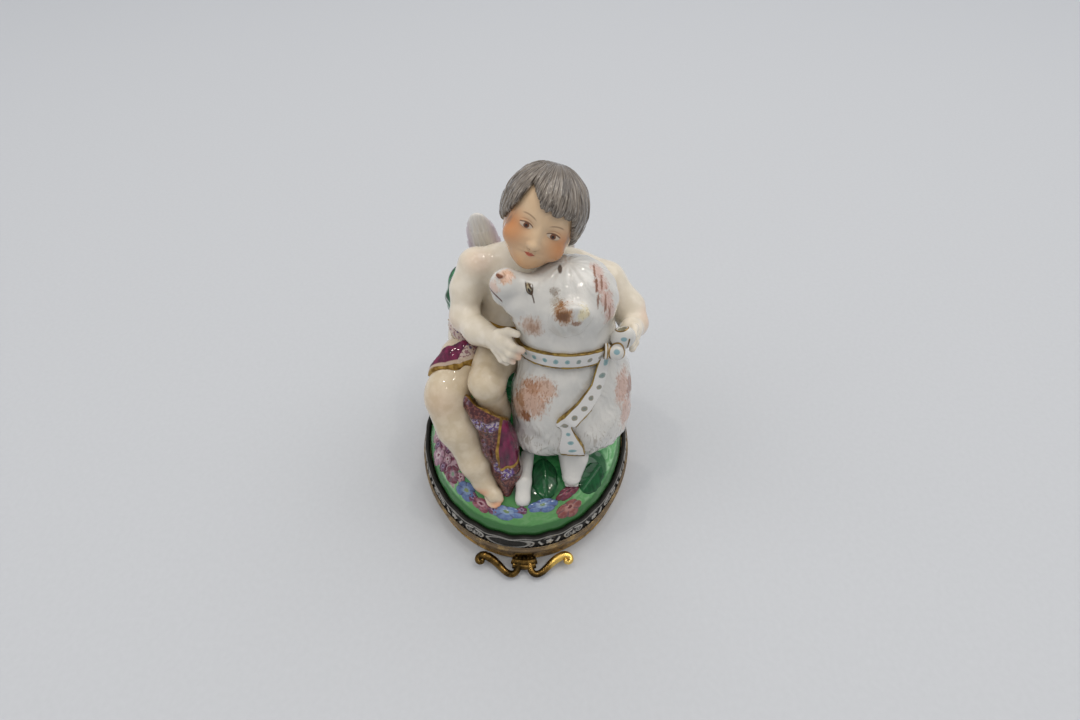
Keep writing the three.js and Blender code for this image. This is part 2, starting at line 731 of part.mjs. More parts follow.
// Drapery round the boy's hips, over his right thigh, and hanging between his legs
const roundWaist = (x, y, z) => Math.max((Math.abs(z - 23 + 0.24 * x) - 2.3) * 0.97, y - 6);
const waistCloth = wrap(torsoForm, -1.8, 0.9, roundWaist);
const overThigh = (x, y, z) => Math.max(-10.1 - y - 0.17 * x, y + 0.4 - 0.3 * x, x + 7.6, 18.5 - z);
const lapCloth = wrap(rightLegForm, -1.5, 1.1, overThigh);
const fallCloth = chain(
  2,
  [-10.6, -11.4, 14.6, 2],
  [-6.8, -13.4, 13.4, 3],
  [-4.6, -15, 6.6, 3.4],
  [-3.4, -17.4, 0.6, 2.8],
  [-3.6, -20, -3, 1.6],
);

// Stump and wings
const stumpForm = blend(
  3,
  egg([-3, 11, 1], [12.5, 9.5, 12]),
  limb([-7, 12, 8], [-9.2, 12, 23.6], 8.4, 7.4),
  egg([3, 11, 14], [9, 7, 10]),
);
const rightWingForm = egg([-7.2, 11.4, 36], [3.3, 1.6, 8.6], [8, -8, 0]);
const leftWingForm = egg([5.8, 11, 32.4], [3.3, 1.6, 8], [8, 22, 0]);

// Applied flowers and leaves, each square to the mound's surface at its own place
function onMound(form, around, share, lift, spin) {
  const x = (domeWidth * share * Math.cos(THREE.MathUtils.degToRad(around))) / figureScale.x;
  const y = (domeDepth * share * Math.sin(THREE.MathUtils.degToRad(around))) / figureScale.y;
  const here = [x, y, 0];
  const slope = (dx, dy) => ground.distance(x + dx, y + dy, 0) - ground.distance(x - dx, y - dy, 0);
  const normal = new THREE.Vector3(slope(0.1, 0), slope(0, 0.1), 0.2).normalize();
  while (ground.distance(...here) > 0) here[2] -= 0.02;
  const turn = [
    THREE.MathUtils.radToDeg(Math.atan2(-normal.y, normal.z)),
    THREE.MathUtils.radToDeg(Math.asin(normal.x)),
    0,
  ];
  const place = normal.multiplyScalar(lift).add(new THREE.Vector3(...here));
  return placed(placed(form, [0, 0, 0], [0, 0, spin]), place.toArray(), turn);
}
function bloom(radius) {
  const distance = (x, y, z) => {
    const across = Math.hypot(x, y);
    const petals = radius * (0.86 + 0.14 * Math.cos(5 * Math.atan2(y, x)));
    return Math.max(across - petals, Math.abs(z) - 0.9 + 0.13 * across);
  };
  return { distance, box: new THREE.Box3().setFromCenterAndSize(new THREE.Vector3(), new THREE.Vector3(2 * radius, 2 * radius, 1.4)) };
}
// Each flower: the way it lies from the middle in degrees, its share of the way to the mound's foot, its radius and glaze
const flowers = [
  [-155.2, 0.929, 2.3, "pink"],
  [-142.3, 0.884, 2.6, "red"],
  [-127.5, 0.881, 2.9, "blue"],
  [-115.9, 0.905, 2.2, "pink"],
  [-100.8, 0.895, 3.1, "blue"],
  [-75.4, 0.871, 3.2, "blue"],
  [-59.4, 0.829, 2.5, "red"],
  [-61.3, 0.953, 2.5, "pink"],
];
const leaves = [
  [-69.5, 0.677, 10],
  [-42.6, 0.872, -35],
];

addFigure("boy_torso", clearOf(torsoForm, ground, rightLegForm, leftLegForm, hairForm, waistCloth), 2, "skin");
addFigure("boy_hair", hairForm, 1.6, "hair");
addFigure("boy_head", clearOf(headForm, hairForm, torsoForm), 1.6, "skin");
addFigure("boy_right_arm", clearOf(rightArmForm, torsoForm, headForm), 1.6, "skin");
addFigure("boy_left_arm", clearOf(leftArmForm, torsoForm, headForm), middleStep, "skin");
addFigure("boy_right_leg", clearOf(rightLegForm, ground, lapCloth, waistCloth), 1.5, "skin");
addFigure("boy_left_leg", clearOf(leftFoot, ground, rightLegForm, waistCloth), 1.8, "skin");
addFigure("right_wing", clearOf(rightWingForm, torsoForm, rightArmForm, headForm), fineStep, "porcelain");
addFigure("left_wing", clearOf(leftWingForm, torsoForm, leftArmForm, headForm), fineStep, "porcelain");

const boy = [torsoForm, rightArmForm, leftArmForm, rightLegForm, leftFoot];
addFigure("dog_body", clearOf(dogBody, ground, ...boy), broadStep, "porcelain");
addFigure("dog_head", clearOf(dogHead, ...boy, headForm, hairForm), middleStep, "porcelain");
addFigure("dog_collar", clearOf(collarForm, ...boy), middleStep, "porcelain");
addFigure("dog_near_ear", clearOf(nearEar, dogForm, collarForm), fineStep, "porcelain");
addFigure("dog_left_foreleg", clearOf(leftForeleg, ground, dogForm, rightLegForm), fineStep, "porcelain");
addFigure("dog_right_foreleg", clearOf(rightForeleg, ground, dogForm), fineStep, "porcelain");
addFigure("dog_tail", clearOf(dogTail, ground, dogForm, ...boy), 1.7, "porcelain");
addFigure("collar_bow", clearOf(bowForm, dogForm, collarForm, leftArmForm), fineStep, "porcelain");
addFigure("ribbon_end", clearOf(ribbonForm, collarForm, bowForm), 0.9, "porcelain");

const dog = [dogForm, collarForm];
addFigure("waist_drapery", clearOf(waistCloth, rightArmForm, leftArmForm, ...dog), 1.5, "purple");
addFigure("lap_drapery", clearOf(lapCloth, waistCloth, torsoForm, rightArmForm, leftFoot), 1.2, "purple");
addFigure("hanging_drapery", clearOf(fallCloth, ...boy, ...dog, leftForeleg, ground), 1.6, "purple");
const seated = [...boy, ...dog, waistCloth, lapCloth, dogTail, rightWingForm, leftWingForm, ground];
addFigure("stump", clearOf(stumpForm, ...seated), 2.4, "darkGreen");

const planted = [ground, rightLegForm, leftForeleg, rightForeleg, fallCloth, dogForm];
flowers.forEach(([around, share, radius, colour], n) => {
  const form = onMound(bloom(radius), around, share, 1, 40 * n);
  addFigure(`flower_${n + 1}`, clearOf(form, ...planted), 0.8, colour);
  planted.push(form);
});
leaves.forEach(([around, share, spin], n) => {
  const form = onMound(egg([0, 0, 0], [2.5, 4.3, 1.4]), around, share, 0.7, spin);
  addFigure(`leaf_${n + 1}`, clearOf(form, ...planted), 1.2, "darkGreen");
  planted.push(form);
});

assembly.position.y = -new THREE.Box3().setFromObject(assembly).getCenter(new THREE.Vector3()).y;

export default assembly;
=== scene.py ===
"""The looks of a porcelain bonbonniere: a winged boy and his dog on a flowered mound, in a gilt mount."""

import json
import math

import bmesh
import bpy
import numpy as np
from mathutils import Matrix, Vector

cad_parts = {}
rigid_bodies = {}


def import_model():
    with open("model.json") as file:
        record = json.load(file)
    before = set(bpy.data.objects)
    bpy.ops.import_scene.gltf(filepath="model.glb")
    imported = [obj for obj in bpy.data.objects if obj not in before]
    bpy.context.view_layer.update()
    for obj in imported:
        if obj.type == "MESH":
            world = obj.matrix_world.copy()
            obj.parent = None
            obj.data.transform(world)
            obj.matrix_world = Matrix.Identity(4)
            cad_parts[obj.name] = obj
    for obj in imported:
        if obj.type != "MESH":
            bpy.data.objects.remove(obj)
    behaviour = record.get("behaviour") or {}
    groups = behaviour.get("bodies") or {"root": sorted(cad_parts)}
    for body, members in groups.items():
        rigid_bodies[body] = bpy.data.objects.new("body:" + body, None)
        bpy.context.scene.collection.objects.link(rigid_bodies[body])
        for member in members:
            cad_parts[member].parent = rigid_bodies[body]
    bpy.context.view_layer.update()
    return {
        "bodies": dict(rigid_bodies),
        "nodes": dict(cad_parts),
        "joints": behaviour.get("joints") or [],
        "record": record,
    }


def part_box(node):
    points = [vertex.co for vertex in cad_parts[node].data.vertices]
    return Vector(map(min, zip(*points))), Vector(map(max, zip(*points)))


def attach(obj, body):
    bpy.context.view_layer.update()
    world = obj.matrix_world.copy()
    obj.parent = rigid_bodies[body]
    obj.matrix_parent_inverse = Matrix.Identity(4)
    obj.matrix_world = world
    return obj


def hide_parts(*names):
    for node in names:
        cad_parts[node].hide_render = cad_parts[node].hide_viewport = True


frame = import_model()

import openvdb
from mathutils import Matrix, Vector

# Studio
# A pale sheet of paper on a table, a broad soft light over it from the right, weaker ones from the left and
# behind, and the small ceiling lamps that put bright points on the glaze. The camera looks down from
# straight in front.


class Wire:
    """One value in a node tree, so that maths on it is written as a formula."""

    def __init__(self, tree, socket):
        self.tree = tree
        self.socket = socket

    def math(self, operation, *values):
        inputs = dict(enumerate(values))
        return self.tree.node("ShaderNodeMath", inputs, operation=operation)

    def __add__(self, other):
        return self.math("ADD", self, other)

    def __sub__(self, other):
        return self.math("SUBTRACT", self, other)

    def __rsub__(self, other):
        return self.math("SUBTRACT", other, self)

    def __mul__(self, other):
        return self.math("MULTIPLY", self, other)

    def __truediv__(self, other):
        return self.math("DIVIDE", self, other)

    def __pow__(self, other):
        return self.math("POWER", self, other)

    def __abs__(self):
        return self.math("ABSOLUTE", self)

    __radd__ = __add__
    __rmul__ = __mul__

    def least(self, other):
        return self.math("MINIMUM", self, other)

    def most(self, other):
        return self.math("MAXIMUM", self, other)

    def sine(self):
        return self.math("SINE", self)

    def ramp(self, low, high):
        """0 below low and 1 above high, or the other way round, with a smooth slope between."""
        inputs = {"Value": self, "From Min": low, "From Max": high}
        return self.tree.node("ShaderNodeMapRange", inputs, interpolation_type="SMOOTHSTEP")

    def part(self, name):
        """Another output of the node that this value comes from."""
        return Wire(self.tree, self.socket.node.outputs[name])


class Tree:
    """A node tree, and the one way in which nodes are added to it."""

    def __init__(self, tree):
        self.tree = tree

    def node(self, kind, inputs=None, out=0, **settings):
        made = self.tree.nodes.new(kind)
        for key, value in settings.items():
            setattr(made, key, value)
        for key, value in (inputs or {}).items():
            if isinstance(value, Wire):
                self.tree.links.new(value.socket, made.inputs[key])
            else:
                made.inputs[key].default_value = value
        return Wire(self, made.outputs[out])


def tint(code):
    """A colour written as it is seen, six hex digits, as the linear numbers that a shader takes."""
    seen = [int(code[n:n + 2], 16) / 255 for n in (0, 2, 4)]
    return (*[c / 12.92 if c < 0.04045 else ((c + 0.055) / 1.055) ** 2.4 for c in seen], 1.0)


class Finish(Tree):
    """A material: one Principled surface, the place on the piece in millimetres, and its paint so far."""

    def __init__(self, name, **surface):
        self.material = bpy.data.materials.new(name)
        self.material.use_nodes = True
        super().__init__(self.material.node_tree)
        self.surface = self.tree.nodes["Principled BSDF"]
        for key, value in surface.items():
            self.surface.inputs[key.replace("_", " ")].default_value = value
        if "Coat_Weight" in surface:
            self.surface.inputs["Specular IOR Level"].default_value = 0.12
        metres = self.node("ShaderNodeTexCoord", out="Object")
        self.place = self.scaled(metres, 1000)

    def scaled(self, vector, factor):
        return self.node("ShaderNodeVectorMath", {0: vector, "Scale": factor}, operation="SCALE")

    def stretched(self, vector, factors):
        return self.node("ShaderNodeVectorMath", {0: vector, 1: factors}, operation="MULTIPLY")

    def split(self, vector):
        x = self.node("ShaderNodeSeparateXYZ", {0: vector})
        return x, x.part("Y"), x.part("Z")

    def joined(self, x, y, z=0.0):
        return self.node("ShaderNodeCombineXYZ", {0: x, 1: y, 2: z})

    def field(self, name):
        """A number kept on the piece's own points."""
        return self.node("ShaderNodeAttribute", out="Fac", attribute_name=name)

    def noise(self, scale, detail=3.0, vector=None, **inputs):
        values = {"Vector": vector or self.place, "Scale": scale, "Detail": detail, **inputs}
        return self.node("ShaderNodeTexNoise", values, out="Fac")

    def cells(self, scale):
        values = {"Vector": self.place, "Scale": scale, "Randomness": 1.0}
        return self.node("ShaderNodeTexVoronoi", values, out="Distance", feature="F1")

    def mix(self, mask, under, over):
        """One colour over another where the mask is 1. A colour is a code or another mix."""
        under, over = (tint(colour) if isinstance(colour, str) else colour for colour in (under, over))
        values = {"Factor": mask, 6: under, 7: over}
        return self.node("ShaderNodeMix", values, out=2, data_type="RGBA", clamp_factor=True)

    def lay(self, mask, over):
        """Lays one more colour over what is painted so far."""
        self.colour = self.mix(mask, self.colour, over)

    def spot(self, centre, radii, vector=None):
        """1 at the centre of an egg-shaped spot, and 0 at its edge and beyond."""
        away = self.node("ShaderNodeVectorMath", {0: vector or self.place, 1: centre}, operation="SUBTRACT")
        shares = self.stretched(away, tuple(1 / r for r in radii))
        length = self.node("ShaderNodeVectorMath", {0: shares}, out="Value", operation="LENGTH")
        return (1.0 - length).most(0.0)

    def wear(self, roughness=None, bump=None, depth=0.05, metallic=None, coat=None):
        """Feeds the surface. depth is the height in millimetres that a bump of 1 stands for."""
        feeds = {"Base Color": self.colour, "Roughness": roughness, "Metallic": metallic, "Coat Weight": coat}
        if bump is not None:
            values = {"Height": bump, "Distance": depth / 1000, "Strength": 1.0}
            feeds["Normal"] = self.node("ShaderNodeBump", values)
        for name, wire in feeds.items():
            if wire is not None:
                self.tree.links.new(wire.socket, self.surface.inputs[name])
        return self.material


paper = Finish("paper", Roughness=0.75, Specular_IOR_Level=0.25)
paper_grain = paper.noise(0.9, 5.0)
paper.colour = paper.mix(paper_grain, "BDBFC2", "C4C6C9")
paper.wear(bump=paper_grain, depth=0.02)
bpy.ops.mesh.primitive_plane_add(size=3.0)
floor = bpy.context.object
floor.name = "floor"
floor.data.materials.append(paper.material)

world = bpy.data.worlds.new("room")
bpy.context.scene.world = world
world.use_nodes = True
room_light = world.node_tree.nodes["Background"].inputs
room_light["Color"].default_value = (0.93, 0.95, 1.0, 1.0)
room_light["Strength"].default_value = 0.52
group_middle = Vector((0, 0, 0.035))


def lamp(name, place, size, power, colour=(1.0, 1.0, 1.0), mirrored=True):
    """A square soft lamp that faces the middle of the group."""
    data = bpy.data.lights.new(name, "AREA")
    data.size = size
    data.energy = power
    data.color = colour
    made = bpy.data.objects.new(name, data)
    made.location = place
    made.visible_glossy = mirrored
    made.rotation_mode = "QUATERNION"
    made.rotation_quaternion = (Vector(place) - group_middle).to_track_quat("Z", "Y")
    bpy.context.scene.collection.objects.link(made)


lamp("window", (0.62, 0.3, 1.1), 1.0, 4.8)
lamp("fill", (-0.95, -0.1, 0.9), 0.9, 3.0, mirrored=False)
lamp("behind", (-0.1, 0.95, 0.85), 0.8, 1.6, mirrored=False)
for spot_x, spot_y in ((-0.22, -0.05), (0.16, 0.10), (0.02, -0.34), (0.30, -0.16), (-0.08, 0.16)):
    lamp("ceiling_lamp", (spot_x, spot_y, 0.75), 0.03, 0.35, (1.0, 0.93, 0.82))


def box_of(node):
    """The two corners of a frame node's box, in millimetres."""
    return [corner * 1000 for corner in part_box(node)]


oval_low, oval_high = box_of("base_rim")
middle = (oval_low.y + oval_high.y) / 2
camera_place = (3.4, -76.2, 117.3)
camera_fall = 48.0
camera_lens = 18.03
camera = bpy.data.objects.new("camera", bpy.data.cameras.new("camera"))
camera.location = Vector((camera_place[0], camera_place[1] + middle, camera_place[2])) / 1000
camera.rotation_euler = (math.radians(90 - camera_fall), 0, 0)
camera.data.sensor_width = 36.0
camera.data.lens = camera_lens
camera.data.clip_start = 0.005
bpy.context.scene.collection.objects.link(camera)
bpy.context.scene.camera = camera
bpy.context.scene.view_settings.view_transform = "Standard"

# Base rim
# A turned and gilt brass band, oval, on which the box stands. Its foot and lips are rolled over, and the
# gilding is rubbed down to brown brass on the outside. It carries the porcelain floor, the flange, the
# thumbpiece and the hinge.
moulding_low, moulding_high = box_of("body_moulding")
half_width = moulding_high.x
oval_stretch = 5.0
half_depth = half_width + oval_stretch
rim_foot = oval_low.z
rim_top = oval_high.z
rim_inset = half_width - oval_high.x
rim_wall = 2.2
oval_sides = 180


def new_piece(name, points, faces, material=None, fields=None, edges=()):
    """A mesh in the scene. The fields are numbers kept on its points for its paint."""
    mesh = bpy.data.meshes.new(name)
    mesh.from_pydata(points, edges, faces)
    for key, values in (fields or {}).items():
        layer = mesh.attributes.new(key, "FLOAT", "POINT")
        layer.data.foreach_set("value", np.asarray(values, np.float32).ravel())
    if material:
        mesh.materials.append(material)
    piece = bpy.data.objects.new(name, mesh)
    bpy.context.scene.collection.objects.link(piece)
    return piece


def grown(name, tree, points, edges, **sizes):
    """A plain mesh that a geometry tree makes from a few points and edges, in millimetres."""
    piece = new_piece(name, points, [], edges=edges)
    modifier = piece.modifiers.new("shape", "NODES")
    modifier.node_group = tree.tree
    for item in tree.tree.interface.items_tree:
        if item.in_out == "INPUT" and item.name in sizes:
            modifier[item.identifier] = sizes[item.name]
    graph = bpy.context.evaluated_depsgraph_get()
    made = bpy.data.meshes.new_from_object(piece.evaluated_get(graph))
    piece.modifiers.clear()
    piece.data = made
    return piece


class Growth(Tree):
    """A geometry tree with named sizes as its inputs."""

    def __init__(self, name, **sizes):
        super().__init__(bpy.data.node_groups.new(name, "GeometryNodeTree"))
        self.tree.interface.new_socket("Geometry", in_out="INPUT", socket_type="NodeSocketGeometry")
        self.tree.interface.new_socket("Geometry", in_out="OUTPUT", socket_type="NodeSocketGeometry")
        for key, value in sizes.items():
            kind = "NodeSocketInt" if isinstance(value, int) else "NodeSocketFloat"
            self.tree.interface.new_socket(key, in_out="INPUT", socket_type=kind).default_value = value
        self.given = self.tree.nodes.new("NodeGroupInput").outputs

    def size(self, name):
        return Wire(self, self.given[name])

    def remember(self, geometry, name, value):
        inputs = {"Geometry": geometry, "Name": name, "Value": value}
        return self.node("GeometryNodeStoreNamedAttribute", inputs, data_type="FLOAT_VECTOR")

    def recall(self, name):
        axes = self.node("ShaderNodeSeparateXYZ", {0: self.node(
            "GeometryNodeInputNamedAttribute", {"Name": name}, data_type="FLOAT_VECTOR")})
        return axes, axes.part("Y"), axes.part("Z")

    def finish(self, geometry, material):
        real = self.node("GeometryNodeRealizeInstances", {0: geometry})
        dressed = self.node("GeometryNodeSetMaterial", {"Geometry": real, "Material": material})
        smooth = self.node("GeometryNodeSetShadeSmooth", {0: dressed, "Shade Smooth": True})
        end = self.tree.nodes.new("NodeGroupOutput")
        self.tree.links.new(smooth.socket, end.inputs["Geometry"])


def turned_oval(name, profile, material, rounding=0.25, reach=1.0, closed=True):
    """A profile of [distance in from the moulding, height], carried round the oval, with its corners rounded.
    Outside the reach the wall stays even all round, and inside it a floor is drawn out to the oval."""
    tree = Growth(name, Spread=oval_stretch, Reach=1.0, Middle=0.0, Rounding=0.25, Sides=oval_sides)
    section = tree.node("GeometryNodeMeshToCurve", {"Mesh": Wire(tree, tree.given["Geometry"])})
    section = tree.node("GeometryNodeFilletCurve", {
        "Curve": section, "Radius": tree.size("Rounding"), "Count": 5, "Limit Radius": True}, mode="POLY")
    position = tree.node("GeometryNodeInputPosition")
    section = tree.remember(section, "section", position)
    circle = tree.node("GeometryNodeCurvePrimitiveCircle", {"Resolution": tree.size("Sides"), "Radius": 1.0})
    circle = tree.remember(circle, "around", position)
    swept = tree.node("GeometryNodeCurveToMesh", {"Curve": circle, "Profile Curve": section})
    radius, _, height = tree.recall("section")
    across, along, _ = tree.recall("around")
    depth = radius + tree.size("Spread") * (radius / tree.size("Reach")).least(1.0)
    place = tree.node("ShaderNodeCombineXYZ", {
        0: radius * across, 1: depth * along + tree.size("Middle"), 2: height})
    swept = tree.node("GeometryNodeSetPosition", {"Geometry": swept, "Position": place})
    swept = tree.node("GeometryNodeMergeByDistance", {"Geometry": swept, "Distance": 1e-3})
    tree.finish(swept, material)
    points = [(half_width - inset, 0, z) for inset, z in profile]
    edges = [(n, n + 1) for n in range(len(points) - 1)] + ([(len(points) - 1, 0)] if closed else [])
    sizes = {"Spread": oval_stretch, "Reach": reach, "Middle": middle, "Rounding": rounding}
    return facing_out(grown(name, tree, points, edges, **sizes))


def facing_out(piece):
    """Turns a closed mesh's faces outwards and brings it from millimetres to metres."""
    mesh = bmesh.new()
    mesh.from_mesh(piece.data)
    bmesh.ops.remove_doubles(mesh, verts=mesh.verts, dist=1e-4)
    bmesh.ops.recalc_face_normals(mesh, faces=mesh.faces)
    mesh.to_mesh(piece.data)
    mesh.free()
    piece.data.transform(Matrix.Scale(0.001, 4))
    piece.data.shade_smooth()
    return piece


def stand_for(piece, body, slot, *nodes):
    """The piece rides on its body in place of the frame's own nodes."""
    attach(piece, body)
    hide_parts(*nodes)
    return piece


def gilding(name, worn, gold="C49A4A", brown="5E4A30", dirt="2A2018", highlight_from=None):
    """Fire gilding on brass: gold where it lasts, brown where it is rubbed, and dark in the pits. Right of a
    given x, bright gold is laid on as a painted highlight.
    """
    metal = Finish(name, Metallic=1.0, Roughness=0.3)
    rubbed = metal.noise(0.45, 6.0) + 0.35 * metal.noise(3.1, 4.0)
    rubbed = rubbed.ramp(0.9 - worn * 0.6, 1.15 - worn * 0.55)
    pits = metal.noise(5.5, 3.0).ramp(0.62, 0.75)
    metal.colour = metal.mix(rubbed, gold, brown)
    metal.lay(pits * 0.55, dirt)
    # A painted highlight: bright gold over the gilding right of the given x.
    if highlight_from is not None:
        highlit_right_end = metal.split(metal.place)[0].ramp(highlight_from, highlight_from + 1.5)
        metal.lay(highlit_right_end, "E2BE68")
    turning = metal.noise(1.0, 4.0, vector=metal.stretched(metal.place, (0.6, 0.6, 14.0)))
    metal.wear(roughness=0.24 + 0.22 * rubbed + 0.2 * pits, bump=turning + 0.6 * pits, depth=0.025)
    return metal.material


rim_gilding = gilding("rubbed_gilding", 0.62, gold="C09A5C", brown="7A664C")
rim = turned_oval("gilt_base_rim", [
    (rim_inset + 0.3, rim_foot),
    (rim_inset, rim_foot + 0.45),
    (rim_inset, rim_foot + 0.8),
    (rim_inset + 0.22, rim_foot + 1.0),
    (rim_inset + 0.22, rim_top - 0.9),
    (rim_inset, rim_top - 0.7),
    (rim_inset, rim_top - 0.3),
    (rim_inset + 0.25, rim_top),
    (rim_inset + rim_wall, rim_top),
    (rim_inset + rim_wall, rim_foot + 0.8),
    (rim_inset + rim_wall + 1.6, rim_foot + 0.8),
    (rim_inset + rim_wall + 1.6, rim_foot),
], rim_gilding, rounding=0.18)
stand_for(rim, "base_half", "gilt_brass", "base_rim")

# Floor of the box
# An oval porcelain plaque, white and slightly dished, glazed on both sides and painted inside with a spray
# of three flowers. It is cemented into the rim on a narrow seat.
floor_low, floor_high = box_of("base_plaque")
floor_inset = half_width - floor_high.x
floor_reach = floor_high.x
inside_floor = Finish("painted_white_glaze", Roughness=0.09, Coat_Weight=0.6, Coat_Roughness=0.04)
inside_floor.colour = inside_floor.mix(inside_floor.noise(0.25, 2.0), "E4E2DE", "EAE8E4")
upper_side = inside_floor.split(inside_floor.place)[2].ramp(floor_high.z - 1.1, floor_high.z - 0.9)
for flower_x, flower_y, petal, hue in (
    (-2.6, 1.6, 3.0, "B5476B"),
    (2.8, 2.6, 2.5, "6E86C8"),
    (0.6, -3.2, 2.3, "D08A4A"),
):
    from_heart = inside_floor.node("ShaderNodeVectorMath", {
        0: inside_floor.place, 1: (flower_x, flower_y + middle, 0.0)}, operation="SUBTRACT")
    flower_u, flower_v, _ = inside_floor.split(from_heart)
    turn_of_petal = flower_v.math("ARCTAN2", flower_v, flower_u)
    from_heart = (flower_u * flower_u + flower_v * flower_v) ** 0.5
    lobe = petal * (0.8 + 0.2 * (turn_of_petal * 5.0).sine())
    petals = (from_heart / lobe).ramp(1.0, 0.9) * upper_side
    inside_floor.lay(petals * (0.35 + 0.65 * (from_heart / petal)), hue)
    inside_floor.lay((from_heart / petal).ramp(0.28, 0.2) * upper_side, "E8C24A")
for leaf_x, leaf_y, leaf_size in ((-5.6, -1.2, (2.6, 1.1)), (5.4, -0.6, (2.4, 1.0)), (-0.6, 6.0, (1.0, 2.6))):
    leaf_mask = inside_floor.spot((leaf_x, leaf_y + middle, floor_high.z), (*leaf_size, 2.0))
    inside_floor.lay(leaf_mask.ramp(0.0, 0.12) * upper_side, "5C9A5A")
plaque = turned_oval("porcelain_floor", [
    (half_width, floor_low.z + 0.2),
    (floor_inset + 1.6, floor_low.z),
    (floor_inset, floor_low.z),
    (floor_inset, floor_high.z),
    (floor_inset + 1.6, floor_high.z),
    (half_width, floor_high.z - 0.5),
], inside_floor.wear(bump=inside_floor.noise(0.35, 3.0)), rounding=0.2, reach=floor_reach, closed=False)
stand_for(plaque, "base_half", "white_glaze", "base_plaque")

# Closing flange
# A thin gilt collar soldered inside the rim. It stands up into the moulding of the figure half, and its
# friction keeps the box shut.
flange_low, flange_high = box_of("closing_flange")
flange_inset = half_width - flange_high.x
flange_outer = 4.3
flange_wall = 0.6
flange = turned_oval("gilt_closing_flange", [
    (flange_inset, flange_low.z),
    (flange_inset, rim_top),
    (flange_outer, rim_top),
    (flange_outer, flange_high.z - 0.35),
    (flange_outer + 0.2, flange_high.z),
    (flange_outer + flange_wall, flange_high.z),
    (flange_outer + flange_wall, flange_low.z),
], gilding("bright_gilding", 0.2), rounding=0.12)
stand_for(flange, "base_half", "gilt_brass", "closing_flange")

# Thumbpiece
# Two cast gilt scrolls, joined by a small shell on a plate that is soldered to the front of the rim. Each
# scroll swells towards its curl, and its right end is painted bright gold as a painted highlight.
thumb_high = box_of("thumbpiece")[1]
thumb_root = thumb_high.y
thumb_height = 1.7
scroll_end = thumb_high.x - 2.1
thumb_gilding = gilding("thumb_gilding", 0.6, gold="7C6032", brown="342814", highlight_from=5.0)


def wire_piece(name, strands, material):
    """Round wires of changing thickness: each strand is a list of (x, y, z, radius) in millimetres."""
    data = bpy.data.curves.new(name, "CURVE")
    data.dimensions = "3D"
    data.bevel_depth = 1.0
    data.bevel_resolution = 5
    data.use_fill_caps = True
    data.resolution_u = 12
    for strand in strands:
        spline = data.splines.new("NURBS")
        spline.points.add(len(strand) - 1)
        spline.use_endpoint_u = True
        spline.order_u = 4
        for point, (x, y, z, radius) in zip(spline.points, strand):
            point.co = (x, y, z, 1.0)
            point.radius = radius
    curve = bpy.data.objects.new(name + "_path", data)
    bpy.context.scene.collection.objects.link(curve)
    graph = bpy.context.evaluated_depsgraph_get()
    mesh = bpy.data.meshes.new_from_object(curve.evaluated_get(graph))
    bpy.data.objects.remove(curve)
    mesh.materials.clear()
    mesh.materials.append(material)
    piece = bpy.data.objects.new(name, mesh)
    bpy.context.scene.collection.objects.link(piece)
    return facing_out(piece)


scroll_stations = (
    (0.12, 0.6, 0.0, 0.75),
    (0.12, -1.0, 0.0, 0.8),
    (0.14, -3.0, -0.2, 0.74),
    (0.27, -4.1, -0.4, 0.7),
    (0.46, -3.4, -0.3, 0.72),
    (0.66, -1.5, 0.1, 0.8),
    (0.86, -0.4, 0.4, 0.92),
    (1.0, 0.1, 0.6, 0.86),
    (1.12, -0.3, 0.6, 0.7),
    (1.15, -1.2, 0.5, 0.6),
    (1.06, -1.7, 0.4, 0.55),
    (0.99, -1.3, 0.5, 0.5),
    (1.03, -0.9, 0.6, 0.45),
)
thumb_strands = []
for side in (-1, 1):
    thumb_strands.append([
        (side * share * scroll_end, thumb_root - 0.6 + y, thumb_height + z, radius)
        for share, y, z, radius in scroll_stations
    ])
for n in range(-2, 3):
    lean = 0.42 * n
    thumb_strands.append([
        (0.5 * lean, thumb_root - 0.3, thumb_height - 0.6, 0.3),
        (1.1 * lean, thumb_root - 1.2, thumb_height - 0.2, 0.42),
        (1.9 * lean, thumb_root - 1.7 + 0.1 * abs(n), thumb_height + 0.7, 0.46),
        (2.1 * lean, thumb_root - 1.4 + 0.1 * abs(n), thumb_height + 1.2 - 0.12 * abs(n), 0.3),
    ])
for half, inner, forward, bend, rise, radius in (
    (2.0, 0.7, -0.1, 0.0, 0.1, 1.0),
    (2.6, 0.9, 2.2, 0.1, 0.0, 0.85),
    (2.4, 0.9, 3.1, 0.1, -0.1, 0.7),
):
    thumb_strands.append([
        (x, thumb_root - forward + bend * x * x, thumb_height + rise, radius)
        for x in (-half, -inner, inner, half)
    ])
thumbpiece = wire_piece("gilt_thumbpiece", thumb_strands, thumb_gilding)
stand_for(thumbpiece, "base_half", "gilt_brass", "thumbpiece")

# Hinge
# Five brass knuckles on one pin with burred heads. Two of them are on a bearer that is soldered to the back
# of the base rim, and three on one on the moulding above.
pin_low, pin_high = box_of("hinge_pin")
hinge_y = (pin_low.y + pin_high.y) / 2
hinge_z = (pin_low.z + pin_high.z) / 2
knuckle_radius = 1.5
knuckle_length = 3.0
knuckle_pitch = 3.3
pin_radius = 0.6
hinge_gilding = gilding("hinge_gilding", 0.5, gold="B08E50")


def turned_on_pin(name, profiles, material):
    """Closed profiles of [x along the pin, radius] turned about it."""
    points = []
    faces = []
    sides = 40
    for profile in profiles:
        start = len(points)
        count = len(profile)
        for n in range(sides):
            angle = 2 * math.pi * n / sides
            points += [(x, hinge_y + r * math.cos(angle), hinge_z + r * math.sin(angle)) for x, r in profile]
        for n in range(sides):
            here = start + n * count
            there = start + (n + 1) % sides * count
            for k in range(count):
                after = (k + 1) % count
                faces.append((here + k, here + after, there + after, there + k))
    return new_piece(name, points, faces, material)


